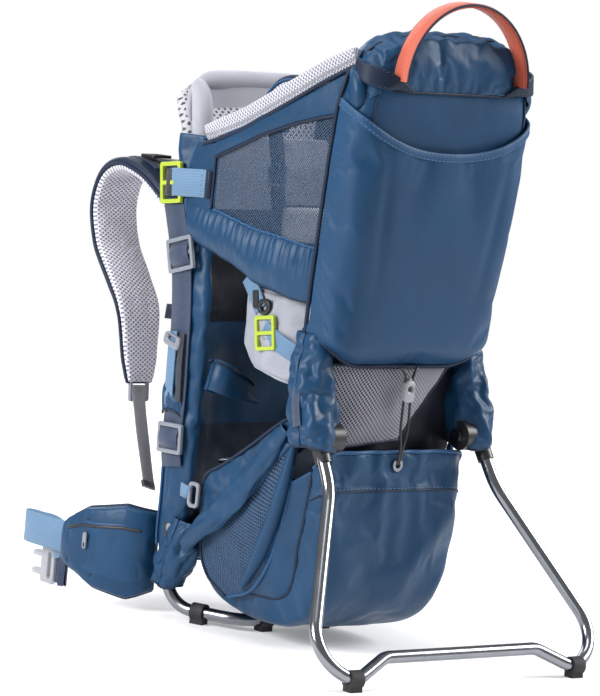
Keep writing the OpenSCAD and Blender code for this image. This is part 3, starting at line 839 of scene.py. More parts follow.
def cockpit():
    """Side walls: mesh window, band over it, gathered strip under it, front strip, piping and lining."""
    rear, window_front, front = -140.0, 50.0, 97.0
    for sign, word in SIDES:
        flip = V([sign, 1, 1])
        ys = linspace(rear, window_front, 44)
        W = wall_grid(sign, ys, 20, WINDOW_LOW, -3, WINDOW_TOP, 3, 1.5, -1.5)
        sheet("cockpit_window_" + word, wrinkle(W, 2.0, 60.0, 2.0), "window", 0.6)
        T = wall_grid(sign, ys, 8, WINDOW_TOP, 0, TOP, 4, 2.5)
        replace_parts(sheet("cockpit_band_" + word, wrinkle(T, 0.7, 30.0, 1.0), "blue_soft", 2.2),
                    "cockpit_sides")

        # gathered strip: upright folds below the elastic seam
        ys_low = linspace(rear, front - 13, 110)
        G = wall_grid(1, ys_low, 16, LOWER, 0, WINDOW_LOW, 1, 7.0)
        for i, j in np.ndindex(*G.shape[:2]):
            v, y = i / (len(G) - 1), ys_low[j]
            gather = sin(y * 0.62 + 1.2 * sin(y * 0.11)) + 0.5 * sin(y * 1.13)
            fade = v ** 2.2 * (1.0 if y < 40 else max(0.0, (80 - y) / 40))
            G[i, j, 0] += 1.7 * gather * fade - (3.0 if v < 0.06 else 0.0)
        G = wrinkle(G, 2.4, 36.0, 4.0) * flip
        sheet("cockpit_gusset_" + word, G, "blue_soft", 2.2)
        cord("cockpit_hem_" + word, G[0, ::3] - V([sign * 1.5, 0, 0]), 1.8, "navy", count=70)
        cord("cockpit_gather_seam_" + word, G[-1, ::2] + V([sign * 0.8, 0, 0.5]), 1.3, "blue_trim", count=120)

        # front strip, from the rim down to the gathered strip, and its return face towards the back pad
        def strip(z, k):
            y = interp(z, [424, 440, 467, 506, 536], [74, 93, 98, 96, 84])
            return sign * (126 + 4.0 * sin(pi * k)), y + (window_front - 3 - y) * k, z + 2 * k

        F = wrinkle(grid(linspace(424, 536, 22), linspace(0, 1, 10), strip), 1.8, 32.0, 8.0)
        sheet("cockpit_front_" + word, F, "blue_soft", 2.4)
        inner = np.stack([0 * F[:, 0, 0] + sign * 104, F[:, 0, 1] - 2, F[:, 0, 2]], 1)
        R = grid(range(22), linspace(0, 1, 6),
                 lambda i, k: F[i, 0] * (1 - k) + inner[i] * k + V([0, 4 * sin(pi * k), 0]))
        sheet("cockpit_front_return_" + word, R, "navy", 1.8)
        cord("cockpit_front_piping_" + word, F[:, 0], 1.7, "blue_trim", count=40)

        walls = [read_table(y, WALL) for y in ys]
        top = [V([sign * (w[0] + 1.8), y, w[WINDOW_TOP] - 1]) for w, y in zip(walls, ys)]
        cord("window_piping_top_" + word, top, 2.0, "navy", count=60)
        fore = [V([sign * 128.6, window_front, z]) for z in linspace(464, 521, 12)]
        cord("window_piping_front_" + word, fore, 1.8, "navy", count=24)
        L = wall_grid(sign, linspace(rear, front - 6, 30), 8, LOWER, 6, WINDOW_LOW, 0, out=-6.0)
        sheet("cockpit_wall_lining_" + word, L, "ink", 1.2, 0)


def rims():
    """Padded air-mesh roll over each side of the cockpit, with a bound seam under it."""
    path = [(124, 72, 545), (123.5, 40, 556), (122, 10, 568), (120, -28, 588), (117, -72, 612),
            (112, -107, 633),
            (105, -146, 654)]
    wide, high, corners, power = 17, 25, 32, 3.0
    section = []
    for c, s in circle(1, corners):
        section.append((wide / 2 * copysign(abs(c) ** (2 / power), c),
                        high / 2 * copysign(abs(s) ** (2 / power), s)))
    for sign, word in SIDES:
        p = flipped(path, sign)
        roll = loft("cockpit_rim_" + word, p, section, (0.25 * sign, 0.25, 1), "rim",
                    [0.78, 0.97, 1, 1, 1, 1, 1, 0.95, 0.8], 60)
        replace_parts(roll, "cockpit_rims")
        cord("rim_piping_" + word, smooth_path(p, 50) + V([sign * 7.5, -1.5, -12.0]), 2.1, "navy", count=60)
        dashes("rim_stitch_" + word, smooth_path(p, 60) + V([sign * 9.6, -1, -6.5]), r=0.35)


def harness():
    """The child's harness: padded arches with mesh inside, webbing, chest pad and the buckle between the
    legs."""
    lo, hi, mid = box("harness_pads")
    cy, cz, r = mid[1], lo[2], hi[2] - lo[2] - 5
    for sign, word in SIDES:
        a = linspace(-0.25, pi + 0.2, 34)
        arch = np.stack([0 * a + sign * 59, cy + r * np.cos(a), cz + r * np.sin(a)], 1)
        out = np.stack([0 * a, np.cos(a), np.sin(a)], 1)[:, None]
        P = grid(range(34), linspace(-20, 20, 13), lambda i, x: arch[i] + V([x, 0, 0]))
        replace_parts(pad("harness_pad_" + word, P + out * 2.2, 7, "navy", power=5.0), "harness_pads")
        pad("harness_pad_lining_" + word, P - out * 2.6, 6, "strap_mesh", power=5.0)
        cord("harness_pad_piping_" + word, outline(P), 1.7, "blue_trim", count=110)
        down = [(58, cy + r - 1, cz - 6), (52, cy + r - 4, cz - 40), (40, cy + r + 2, cz - 90), (30, 41, 438)]
        web = strap("harness_web_" + word, flipped(down, sign), 20, 1.8, "web_navy", (0, 1, 0.1), count=30)
        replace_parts(web, "harness_webbing")
        rear = flipped([(59, cy - r + 1, cz - 4), (59, -74, 545), (59, -90, 528)], sign)
        strap("harness_anchor_" + word, rear, 20, 1.8, "web_navy", (0, 0.8, 0.6), count=14)
        ladder_lock("harness_adjuster_" + word, (sign * 46, cy + r + 1, cz - 62), X, (sign * -0.3, 0.1, 1),
                    26, 24,
                    3.2, "grey")
    P = grid(linspace(428, 470, 11), linspace(-40, 40, 21), lambda z, x: (x, 42 - 0.004 * x * x, z))
    pad("harness_chest_pad", P, 11, "lining", power=3.0, piping="navy", piping_r=1.3)

    lo, hi, mid = box("crotch_strap")
    web = [(0, mid[1], lo[2]), (0, mid[1], mid[2]), (0, mid[1], hi[2] + 4)]
    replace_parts(strap("crotch_web", web, 27, 2.2, "web_navy", Y, "crotch", count=12), "crotch_strap")
    mid = box("harness_buckle")[2]
    shell = plate("harness_buckle_body", [rounded(51, 39, 11, 8), circle(9.6, 36)], 11.6, "black", mid,
                  body="crotch", bevel=2.6)
    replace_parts(shell, "harness_buckle")
    plate("harness_buckle_back", [rounded(46, 34, 9, 8)], 2.0, "black", mid + V([0, -4.6, 0]), body="crotch")
    button = plate("harness_release", [circle(8.8, 36)], 5, "amber", box("harness_button")[2],
                   body="release_button", bevel=1.4)
    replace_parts(button, "harness_button")


def seat():
    """Pale seat: cushion, back, the wings that show at the sides, their straps, snaps and lime adjusters."""
    z = box("seat_cushion")[2][2]

    def cushion(y, k):
        half = interp(y, [-90, -30, -18, 6, 30, 44], [87, 92, 84, 44, 36, 28])
        return half * k, y, z + 5 * k * k * (1 if y < 0 else 0.3) - 2 * sin(pi * (y + 90) / 134)

    c = pad("seat_cushion_cover", grid(linspace(-90, 44, 34), linspace(-1, 1, 33), cushion), 17, "lining",
            "seat",
            piping="navy", piping_r=1.4, cap=5.0)
    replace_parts(c, "seat_cushion")
    for sign, word in SIDES:
        line = [V([sign * 22, y, z + 8.2]) for y in linspace(-80, 30, 20)]
        cord("seat_channel_" + word, line, 1.0, "lining", "seat", "seat_fabric", count=30)

    def curve(x, y):
        return y - 6 * (1 - (x / 70) ** 2)

    lo, hi, mid = box("seat_back")
    P = grid(linspace(lo[2], hi[2], 34), linspace(-72, 72, 21), lambda z, x: (x, curve(x, -99), z))
    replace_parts(pad("seat_back_cover", P, 13, "lining", power=4.0, piping="navy", piping_r=1.4), "seat_back")
    for z in (400, 470, 540):
        line = [V([x, curve(x, -94.6), z]) for x in linspace(-60, 60, 20)]
        cord("seat_back_channel_%d" % z, line, 1.3, "lining", slot="seat_fabric", count=24)

    for sign, word in SIDES:
        def wing(v, k):
            """A folded, padded flap with a free front edge."""
            z = 300 + 84 * v
            y = interp(z, [300, 325, 384], [-18, 4, 8])
            return sign * (96 + 5 * sin(pi * k) + 5 * (1 - v) * (1 - k)), y + (-96 - y) * k, z - 12 * k * (1 - v)

        P = wrinkle(grid(linspace(0, 1, 20), linspace(0, 1, 22), wing), 3.6, 26.0, 11.0 + sign)
        w = pad("seat_wing_" + word, P, 8, "seat_pale", "seat", power=5.0, piping="seat_pale", cap=2.5,
                grow=0.05,
                pressure=2.0)
        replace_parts(w, "seat_wings")
        out, level, steep = (sign, 0.1, 0), (0, -1, 0.2), (0, 0.2, 1)
        strap("seat_strap_top_" + word, flipped([(106, 3, 396), (108, -14, 380), (109, -28, 364)], sign), 22,
              2,
              "web_light", out, "seat", count=16)
        strap("seat_strap_" + word, flipped([(108, -36, 345), (109, -52, 337), (108, -74, 329),
                                             (103, -94, 322)], sign),
              22, 2, "web_light", out, "seat", count=20)
        q = ladder_lock("seat_adjuster_" + word, (sign * 110.5, -42, 340), (0, -0.97, 0.18), (0, 0.18, 0.97),
                        33, 38, 4.6,
                        "lime", "seat", 4.2)
        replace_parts(q, "seat_buckles")
        plate("seat_snap_" + word, [circle(11, 30, 9), circle(5, 24, 4)], 6, "black", (sign * 110, -36, 368),
              level,
              steep, "seat", bevel=1.6)
        plate("seat_snap_prong_" + word, [rounded(9, 20, 2)], 3.4, "black", (sign * 110, -20, 374), level,
              steep, "seat")


# ---------------------------------------------------------------- back
# Middle of the frame's uprights by height: x and y
UPRIGHT = [(13, 113, 90), (150, 113, 66), (350, 113, 64), (445, 109, 82), (572, 104, 112)]
# Back pad by height: front y, half width, thickness
BACK = [(64, 108, 118, 26), (90, 106, 123, 32), (162, 105, 124.5, 34), (230, 104, 124.5, 34),
        (300, 103, 124, 34),
        (355, 104, 124, 34), (421, 118, 122, 34), (463, 130, 117, 33), (500, 140, 108, 31),
        (520, 145, 102, 28)]


def back_cloth(z):
    """Line of the cloth wrapped round both uprights, at height z."""
    y = read_table(z, BACK)[0]
    tube_x, tube_y = read_table(z, UPRIGHT)
    half = V([(123.5, y - 22), (124.5, (y + tube_y) / 2 - 3), (tube_x + 11.5, tube_y),
              (tube_x + 6, tube_y - 12),
              (tube_x - 9, tube_y - 11.5), (92, tube_y - 8), (50, tube_y - 5), (0, tube_y - 4)])
    full = np.vstack([half, half[-2::-1] * V([-1, 1])])
    return smooth_path(np.c_[full, np.full(len(full), z)], 81)


def back():
    """Long back pad in cloth, the cloth behind it, its mesh pads towards the wearer, yoke and chin pad."""
    rows, cols = 96, 49
    thick = V([read_table(z, BACK)[2] for z in linspace(64, 520, rows)])

    def middle(z, k):
        y, half, deep = read_table(z, BACK)
        return k * half, y - deep / 2 - 3 * (1 - k * k), z

    P = wrinkle(grid(linspace(64, 520, rows), linspace(-1, 1, cols), middle), 1.6, 60.0, 21.0)
    puff = (thick / 34)[:, None]
    body = pad("back_panel", P, 34, "blue_soft", slot="navy_nylon", power=7.0, puff=puff)
    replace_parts(body, "back_pad")
    for word, shift in (("inner", -13.4), ("outer", 12.8)):
        for sign, side in SIDES:
            edge = P[3:-3, 0 if sign < 0 else -1]
            line = edge + np.stack([0 * thick - sign * 4.0, shift * thick / 34, 0 * thick], 1)[3:-3]
            cord("back_piping_%s_%s" % (word, side), line, 1.6, "blue_trim", count=110)

    # child's side: one cloth round both uprights, with dark and brushed parts, so that nothing pokes through
    low, high, cloth_rows = 108, 540, 110
    W = wrinkle(V([back_cloth(z) for z in linspace(low, high, cloth_rows)]), 1.4, 52.0, 31.0)
    cover = simulate(sheet("back_cover", W, "blue_soft", 1.8), pressure=0.5, cap=2.5, grow=0.012)
    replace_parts(cover, "upright_sleeves")
    for name in ("ink", "navy", "velour"):
        cover.data.materials.append(MAT[name])
    across, edge = W.shape[1] - 1, 10
    for k, face in enumerate(cover.data.polygons):
        row, col = divmod(k, across)
        z = low + (high - low) * (row + 0.5) / (cloth_rows - 1)
        if edge <= col < across - edge:
            face.material_index = 2 if z < 222 else 0 if z < 338 else 1 if z < 462 else 3
    for sign, word in SIDES:
        cap = flipped([(106, 103, 512), (105, 107, 545), (104, 112, 570), (101.5, 121, 587), (97, 134, 594)],
                      sign)
        rounder(cord("upright_cap_" + word, cap, [10.6, 11, 11.4, 11.8, 12, 12, 11.6, 11, 10, 8], "velour",
                     slot="velour", sides=20, count=10, smooth=True), 2)

    # wearer's side: two long mesh pads and a lumbar pad
    for sign, word in SIDES:
        P = grid(linspace(160, 388, 60), linspace(-1, 1, 21), lambda z, k: (
            sign * 62 + k * (31 + 4 * sin((z - 160) / 228 * pi)), read_table(z, BACK)[0] + 2.0, z))
        pad("back_mesh_" + word, P, 13, "strap_mesh", power=4.0, piping="navy", piping_r=1.8, cap=5.0)
    lo, hi, mid = box("lumbar_pad")
    P = grid(linspace(lo[2] - 2, hi[2] + 2, 34), linspace(-1, 1, 45), lambda z, k: (
        k * (90 - 10 * (2 * (z - lo[2]) / (hi[2] - lo[2]) - 1) ** 2), 116 + 2 * cos(k * 1.5), z))
    lumbar = pad("lumbar_cushion", P, 18, "strap_mesh", power=3.2, piping="navy", piping_r=2.0, cap=5.0)
    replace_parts(lumbar, "lumbar_pad")

    lo, hi, mid = box("yoke")
    P = grid(linspace(0, 1, 26), linspace(-1, 1, 25), lambda v, k: (
        k * (46 - 8 * sin(pi * v) ** 2), lo[1] + 5.5 + (hi[1] - lo[1] - 10) * v - 1.5 * k * k,
        lo[2] + 2 + (hi[2] - lo[2] - 4) * v))
    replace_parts(pad("yoke_plate", P, 9.5, "navy", "torso_yoke", power=5.0, piping="blue_trim", piping_r=1.4),
                "yoke")
    for k in (-1, 0, 1):
        dashes("yoke_stitch_%d" % (k + 1), P[[4, 21], 12 + 6 * k] + V([0, 5.4, 0]), body="torso_yoke")

    # chin pad: brushed cover on the child's side and over the top, perforated mesh on the edges and front
    def chin(v, k):
        half = interp(v, [0, 0.2, 0.72, 0.88, 0.96, 1.0], [99, 104, 105, 101, 93, 84])
        y = 126 + 27 * v - 7 * (1 - k * k) - 7.5 * max(0, v - 0.8) * (1 - abs(k) ** 3)
        return k * half, y, 478 + 116 * v + 4 * (1 - abs(k) ** 4) * v

    P = grid(linspace(0, 1, 50), linspace(-1, 1, 61), chin)
    n = grid_normals(P)
    n *= 1 if n[20, 26, 1] > 0 else -1
    F = (P + n * 9) * V([1.045, 1, 1])
    # the lower half lies further back, so that the yoke and the load lifters pass in front of it
    F[..., 1] -= shares(50, [0, 0.6, 0.85], [11, 11, 0])[:, None]
    front = pad("chin_pad_front", F[13:], 24, "chin_mesh", power=5.5, cap=6.0, pressure=5.0)
    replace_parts(front, "chin_pad")
    pad("chin_pad_velour", P - n * 7.0, 17, "velour", power=3.4, cap=6.0, pressure=5.0)
    roll = [V([k * 88, 148, 592 + 5 * (1 - abs(k) ** 4)]) for k in linspace(-1, 1, 40)]
    rounder(cord("chin_pad_top_roll", roll, [3] + [13] * 10 + [3], "velour", slot="velour", sides=22,
                 count=12,
                 smooth=True), 2)
    cord("chin_pad_seam", outline(P + n * 1.5), 1.8, "velour", slot="velour", count=150)
    for sign, word in SIDES:
        loop = flipped([(62, 168, 586), (62, 176, 581), (62, 174, 567), (62, 157, 560)], sign)
        strap("chin_pad_loop_" + word, loop, 16, 2.2, "web_dark", (0, 1, 0.2), count=18)


def side_straps():
    """Webbing down the edge of the back pad with its adjusters, the straps to the cockpit and the gear
    loops."""
    x = 128.5
    for sign, word in SIDES:
        out = (sign, 0, 0)
        path = [(126, 122, 470), (127.5, 111, 447), (x, 98, 415), (x, 90, 385), (x, 84, 340), (x, 82, 300),
                (x, 80, 262), (x, 80, 216), (127.5, 80, 186), (126.5, 78, 172)]
        w = strap("side_webbing_" + word, flipped(path, sign), 34, 2.0, "web_navy", out, count=80)
        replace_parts(w, "side_webbing")
        for name, y, z, tilt, wide, high in (("upper", 91, 408, 0.30, 44, 38), ("lower", 79, 204, 0.05, 42,
                                                                                34)):
            place_word = "%s_%s" % (name, word)
            q = ladder_lock("side_adjuster_" + place_word, (sign * (x + 3.4), y, z), (0, 1, -tilt),
                            (0, tilt, 1.0), wide,
                            high, 4.4, "grey", rim=4.6)
            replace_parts(q, "side_triglides")
            over = [(x + side, y + tilt * up, z + up) for up, side in ((15, 0.7), (5, 6.2), (-5, 6.2),
                                                                       (-15, 0.7))]
            strap("side_web_over_" + place_word, flipped(over, sign), 32, 2.0, "web_navy", out, count=20)

        q = ladder_lock("cockpit_adjuster_" + word, (sign * 130.5, 121, 484), (0, 1, -0.16), (0, 0.16, 1), 36,
                        46, 5,
                        "lime", rim=4.6)
        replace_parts(q, "cockpit_buckles")
        web = flipped([(130, 122, 484), (132.5, 112, 486), (132.5, 96, 487), (131, 74, 489), (131, 58, 490)],
                      sign)
        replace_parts(strap("cockpit_web_" + word, web, 31, 2.2, "web_light", out, count=30), "cockpit_webbing")
        turn = flipped([(130.6, 118, 484), (132.8, 124, 484), (130.4, 131, 484)], sign)
        strap("cockpit_web_dark_" + word, turn, 30, 2.0, "web_dark", out, count=12)
        fold = flipped([(131, 60, 490), (132.8, 54, 490), (130.4, 52, 490)], sign)
        strap("cockpit_web_end_" + word, fold, 31, 2.2, "navy", (sign, 0.3, 0), count=10)
        dashes("cockpit_web_stitch_" + word, flipped([(134, 66, 476), (134, 66, 503)], sign), r=0.5)

        q = plate("gear_loop_ring_" + word, [rounded(19, 29, 6), rounded(10, 20, 3)], 4.2, "grey",
                  box("gear_loop_" + word)[2], Y, Z, word + "_gear_loop", bevel=1.5)
        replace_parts(q, "gear_loop_" + word)
        tab = [(124.5, 60, 150), (126.5, 54, 150), (126.5, 48, 149), (124, 45, 148), (121.5, 48, 149)]
        strap("gear_tab_" + word, flipped(tab, sign), 15, 1.6, "web_light", out, count=16)


def stirrups():
    """Foot loops of doubled cloth with a cam buckle, hung by light webbing, and a flared skirt over them."""
    for sign, word in SIDES:
        body, flat = word + "_stirrup", (sign, 0, 0)
        lo, hi, mid = box("stirrup_" + word)
        a = linspace(0, 2 * pi, 49)
        c, s = np.cos(a), np.sin(a)
        inner = (1 - c) / 2
        loop = np.stack([mid[0] + sign * (hi[0] - lo[0]) / 2 * 0.97 * np.sign(c) * np.abs(c) ** 0.75,
                         mid[1] + (hi[1] - lo[1]) / 2 * s * (1 - 0.55 * inner), mid[2] + 6 * c - 9 * inner],
                        1)
        out = np.stack([sign * c, s, 0.25 + 0 * a], 1)
        tall = 34 - 13 * inner
        q = strap("stirrup_loop_" + word, loop, 33, 3.0, "blue_soft", out, body, count=61, smooth=False,
                  wide=tall)
        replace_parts(simulate(q, cap=4.0, grow=0.05, pressure=0, pins=[0, 1, 2, 3]), "stirrup_" + word)
        for k, up in enumerate((15.0, -15.0)):
            edge = loop + out * 0.8 + V([0, 0, 1.0]) * (up / 33 * tall)[:, None]
            cord("stirrup_edge_%s_%d" % (word, k), edge[:-1], 1.5, "navy", body, "blue_nylon", closed=True)

        S = grid(linspace(0, 1, 12), linspace(-1, 1, 25), lambda v, k: (
            sign * (131 + 2.5 * v - 5 * k * k), 83 + (11 + 7 * v) * k, 298 - 62 * v - 7 * k * k * v))
        S = wrinkle(S, 2.4, 12.0, 6.0 + sign)
        simulate(sheet("stirrup_skirt_" + word, S, "blue_soft", 2.2), pins=[*range(25), *range(275, 300)],
                 cap=4.0,
                 grow=0.08, pressure=1.0)
        cord("stirrup_skirt_hem_" + word, S[-1] + V([sign * 0.6, 0, 0]), 1.4, "navy", count=30)
        web = [(132.5, 90, 322), (134.5, 87, 300), (134.5, 86, 262), (133.5, 85, 240)]
        strap("stirrup_web_" + word, flipped(web, sign), 14, 2, "web_light", flat, count=24)
        web = [(132.5, 74, 322), (134.0, 72, 290), (133.0, 70, 246)]
        strap("stirrup_web_b_" + word, flipped(web, sign), 9, 2, "web_dark", flat, count=20)
        plate("stirrup_cam_" + word, [rounded(28, 15, 5), rounded(14, 4, 1.5, cy=2)], 6, "grey",
              (sign * 135.5, 86, 312), (0, 1, 0.25), (0, -0.25, 1), bevel=2.2)


# ---------------------------------------------------------------- lower bag
# The bag's line from the top of its back, round the base and up its front: y and z
BAG = [(-151, 224), (-149, 130), (-132, 62), (-98, 32), (-8, 30), (34, 50), (46, 110), (34, 160)]


def bag_shell():
    """One cloth lofted over the bag's back, round the base and up the front, and its seams."""
    path = smooth_path([(0, y, z) for y, z in BAG], 100)
    rows = []
    for k, p in zip(linspace(0, 1, len(path)), path):
        # half width, and how far the cloth sags outwards
        half = interp(k, [0, 0.2, 0.42, 0.6, 0.8, 1.0], [99, 97, 88, 90, 98, 104]) * 1.04
        sag = interp(k, [0, 0.12, 0.28, 0.45, 0.7, 0.86, 1.0], [1, 5, 9, 5, 4, 8, 3])
        away = unit(p - V([0, -50, 120]))
        row = [p + away * (sag * (1 - abs(a) ** 3.0) - 26 * abs(a) ** 5)
               + V([half * copysign(abs(sin(a * pi / 2)) ** 0.55, a), 0, 0]) for a in linspace(-1, 1, 81)]
        rows.append(even(row, 81))
    P = wrinkle(V(rows), 2.6, 62.0, 14.0)
    # upright creases that run down from the drawn-in hem, slack folds over the base, a flat patch at the
    # eyelet
    for i, j in np.ndindex(*P.shape[:2]):
        k, x = i / (len(P) - 1), P[i, j, 0]
        crease = 1.8 * sin(x * 0.19 + 1.4 * sin(x * 0.05)) * bell(k, 0, 0.09)
        slack = 2.2 * sin(x * 0.075 + k * 16 + 1.0) * bell(k, 0.25, 0.14)
        flat = bell(x, 0, 17) * bell(P[i, j, 2], 214, 17) if k < 0.3 else 0.0
        P[i, j, 1] -= (crease + slack) * (1 - flat)
        P[i, j, 1] += (-151.0 - P[i, j, 1]) * flat
    P[..., 2] = np.maximum(P[..., 2], 15.0)
    bag = sheet("lower_bag_shell", P, "blue_soft")
    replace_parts(bag, "lower_bag")
    # the rim, the channel's stitched line and the cloth round the eyelet hold still
    seam_row, across = 9, P.shape[1]
    held = [i * across + j for i, j in np.ndindex(*P.shape[:2]) if i in (0, seam_row, len(P) - 1)
            or j in (0, across - 1) or (i < seam_row and abs(P[i, j, 0]) < 13)]
    simulate(bag, pressure=1.2, cap=5.0, grow=0.018, bend=1.2, pins=held)
    cord("lower_bag_hem", P[0, ::2] + V([0, -0.8, 1.5]), 2.2, "blue_trim", count=80)
    outward = grid_normals(P)[seam_row]
    outward *= -np.sign(outward[40, 1])
    cord("lower_bag_channel_seam", (P[seam_row] + outward * 1.5)[2:79], 0.9, "navy", count=120)
    dashes("lower_bag_channel_stitch", (P[seam_row] + outward * 2.0 + V([0, 0, 2.6]))[2:79], r=0.3)
    return P


def side_panel(sign, word):
    """Outer side layer with its piped diagonal edge, from the hub to the front corner, and its net pocket."""
    top = [(110, -112, 262), (114, -88, 248), (117.5, -45, 216), (119, 0, 186), (118.5, 22, 174),
           (116, 32, 159)]
    front = [(116, 33, 157), (116, 31, 124), (114, 28, 84), (109, 14, 56), (103, -8, 42)]
    lower = [(110, -110, 190), (110, -100, 140), (107, -80, 90), (103, -50, 56), (102, -12, 42)]
    up, low = smooth_path(flipped(top, sign), 46), smooth_path(flipped(lower, sign), 46)
    S = grid(range(46), linspace(0, 1, 30), lambda j, k: up[j] * (1 - k) + low[j] * k + V([
        sign * 6.5 * sin(pi * j / 45) * sin(pi * k) ** 0.8, 0, 0]))
    # the front edge follows its own curve
    S += (smooth_path(flipped(front, sign), 30) - S[-1])[None] * (linspace(0, 1, 46) ** 3)[:, None, None]
    for j, i in np.ndindex(46, 30):
        S[j, i, 0] += sign * 2.6 * sin(j * 0.16 + i * 0.62) * bell(i, 9, 9) * sin(pi * j / 45)
    S = wrinkle(S, 2.2, 26.0, 23.0 + sign)
    q = simulate(sheet("side_panel_" + word, S[:, :13], "blue_soft"), cap=4.0, grow=0.04, pressure=0.6)
    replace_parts(q, "side_pockets")
    cord("side_panel_rim_" + word, up + V([sign * 1.0, 0, 0.5]), 2.2, "navy", count=70)
    N = S[:, 11:] - V([sign * 0.8, 0, 0])
    sheet("side_pocket_net_" + word, N, "pocket_net", 0.9)
    sheet("side_pocket_lining_" + word, N - V([sign * 2.6, 0, 0]), "navy", 1.0, 0)
    cord("side_pocket_edge_" + word, low, 1.8, "blue_trim", count=60)
    cord("side_pocket_front_" + word, S[-1, 2:], 1.8, "navy", count=40)


def side_folds(sign, word):
    """Rolled fold of cloth across the side, drawn in at both ends, and spare cloth behind it."""
    line = [(117, -100, 246), (121, -78, 214), (125, -48, 172), (127.5, -14, 138), (127, 18, 112),
            (124.5, 44, 88)]
    line = smooth_path(flipped(line, sign), 60)
    wide = shares(60, [0, 0.2, 0.5, 0.8, 1], [7, 12, 14.5, 12, 7])
    out = V([sign, 0, 0])
    across = unit(np.cross(out, frames_along(line)[0]))

    def roll(i, a):
        lump = 1 + 0.10 * sin(3 * a + i * 0.23) + 0.06 * sin(5 * a - i * 0.4)
        return line[i] + (across[i] * wide[i] * cos(a) + out * 5.2 * sin(a)) * lump

    R = wrinkle(grid(range(60), linspace(0, 2 * pi, 33), roll), 1.6, 20.0, 71.0 + sign)
    R[:, -1] = R[:, 0]
    sheet("side_roll_" + word, R, "blue_soft", 1.4)
    spare = [(114, -112, 232), (116, -104, 186), (116, -90, 138), (113, -66, 92), (108, -40, 58)]
    cord("side_fold_" + word, smooth_path(flipped(spare, sign), 50), shares(50, [0, 0.3, 0.7, 1],
                                                                            [3, 7.5, 8.5, 3]),
         "blue_soft", slot="blue_nylon", sides=16)


def base_wrap(sign, word):
    """Cloth gathered round the frame's front corner."""
    tube = smooth_path([(112, 62, 116), (113, 66, 96), (113, 80, 62), (113, 90, 38)], 30)

    def wrap(i, a):
        x, y, z = tube[i]
        k = i / 29
        fold = 1 + 0.10 * sin(4 * a + 5 * k) + 0.08 * sin(7 * a - 9 * k)
        return (sign * (x + (13.5 + 2 * sin(pi * k)) * cos(a) * fold),
                y + (19 + 6 * sin(pi * k)) * sin(a) * fold - 6, z + 2 * sin(2 * a))

    W = wrinkle(grid(range(30), linspace(0, 2 * pi, 41), wrap), 2.6, 15.0, 29.0 + sign)
    W[:, -1] = W[:, 0]
    simulate(sheet("base_wrap_" + word, W, "blue_soft", 1.8), cap=4.0, grow=0.05, pressure=0.5)
    cord("base_wrap_hem_" + word, W[-1], 1.6, "navy", count=40)


def lower_bag():
    """Storage bag with soft sides, a stretch pocket on each side and a rolled fold of cloth lying across
    it."""
    P = bag_shell()
    for sign, word in SIDES:
        edge = P[:, -1 if sign > 0 else 0]
        cord("lower_bag_piping_" + word, edge[2:-2] + V([sign * 0.6, 0, 0]), 2.0, "navy", count=130)
        # soft side: from the shell's edge in to its middle, filled out
        heart = V([sign * 107, -30, 130])
        S = V([edge[::2] * (1 - k) + heart * k + V([sign * 8 * sin(pi * (1 - (1 - k) ** 1.6)), 0, 0])
               for k in linspace(0, 1, 22)])
        sheet("lower_bag_side_" + word, wrinkle(S, 2.4, 34.0, 17.0), "blue_soft")
        side_panel(sign, word)
        side_folds(sign, word)
        base_wrap(sign, word)


def rear_net():
    """Grey check hammock net under the rear panel, its drawcord and cord lock."""
    def hammock(v, a):
        left, right = interp(v, [0, 0.5, 1], [-98, -94, -80]), interp(v, [0, 0.3, 1], [76, 52, 8])
        x = left + (right - left) * a
        return x, -141 - 8 * sin(pi * v) * sin(pi * a) + 10 * abs(x / 98) ** 4, 320 + (9 * a - 91) * v

    P = wrinkle(grid(linspace(0, 1, 30), linspace(0, 1, 45), hammock), 2.4, 40.0, 33.0)
    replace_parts(sheet("stash_net", P, "check", 0.8), "stash_mesh")
    cord("stash_net_top", P[0], 1.8, "navy", count=60)
    cord("stash_net_bottom", P[-1], 1.8, "navy", count=60)
    back = grid(linspace(222, 330, 16), linspace(-1, 1, 31), lambda z, k: (98 * k, -128 + 6 * abs(k) ** 3, z))
    sheet("stash_lining", wrinkle(back, 3.0, 30.0, 5.0), "ink", 1.4)
    cord("stash_net_edge", P[:, -1], 1.6, "navy", count=40)
    lo, hi, mid = box("drawcord")
    y, z0, z1 = mid[1], lo[2], hi[2]
    line = [(13, y + 3, z1), (7, y, z1 - 6), (4.9, y, z1 - 13), (4.9, y, z0 + 30), (1.8, y + 0.5, z0 + 12),
            (1.5, y + 2, z0), (1.4, -153.5, 212)]
    for sign, word in ((-1, "a"), (1, "b")):
        q = cord("drawcord_line_" + word, flipped(line, sign), 1.5, "black", slot="black_rubber", count=60,
                 smooth=True)
        if sign < 0:
            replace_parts(q, "drawcord")
    mid = box("cord_lock")[2]
    c = plate("cord_lock_body", [rounded(14, 24, 5, 6), circle(3.2, 20, cy=3)], 9.6, "grey_pale", mid,
              body="cord_stop", slot="grey_plastic", bevel=2.6)
    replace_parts(c, "cord_lock")
    plate("cord_lock_button", [rounded(6, 6, 2.2)], 6.4, "grey", mid + V([0, 0, 11.6]), body="cord_stop",
          bevel=1.8)


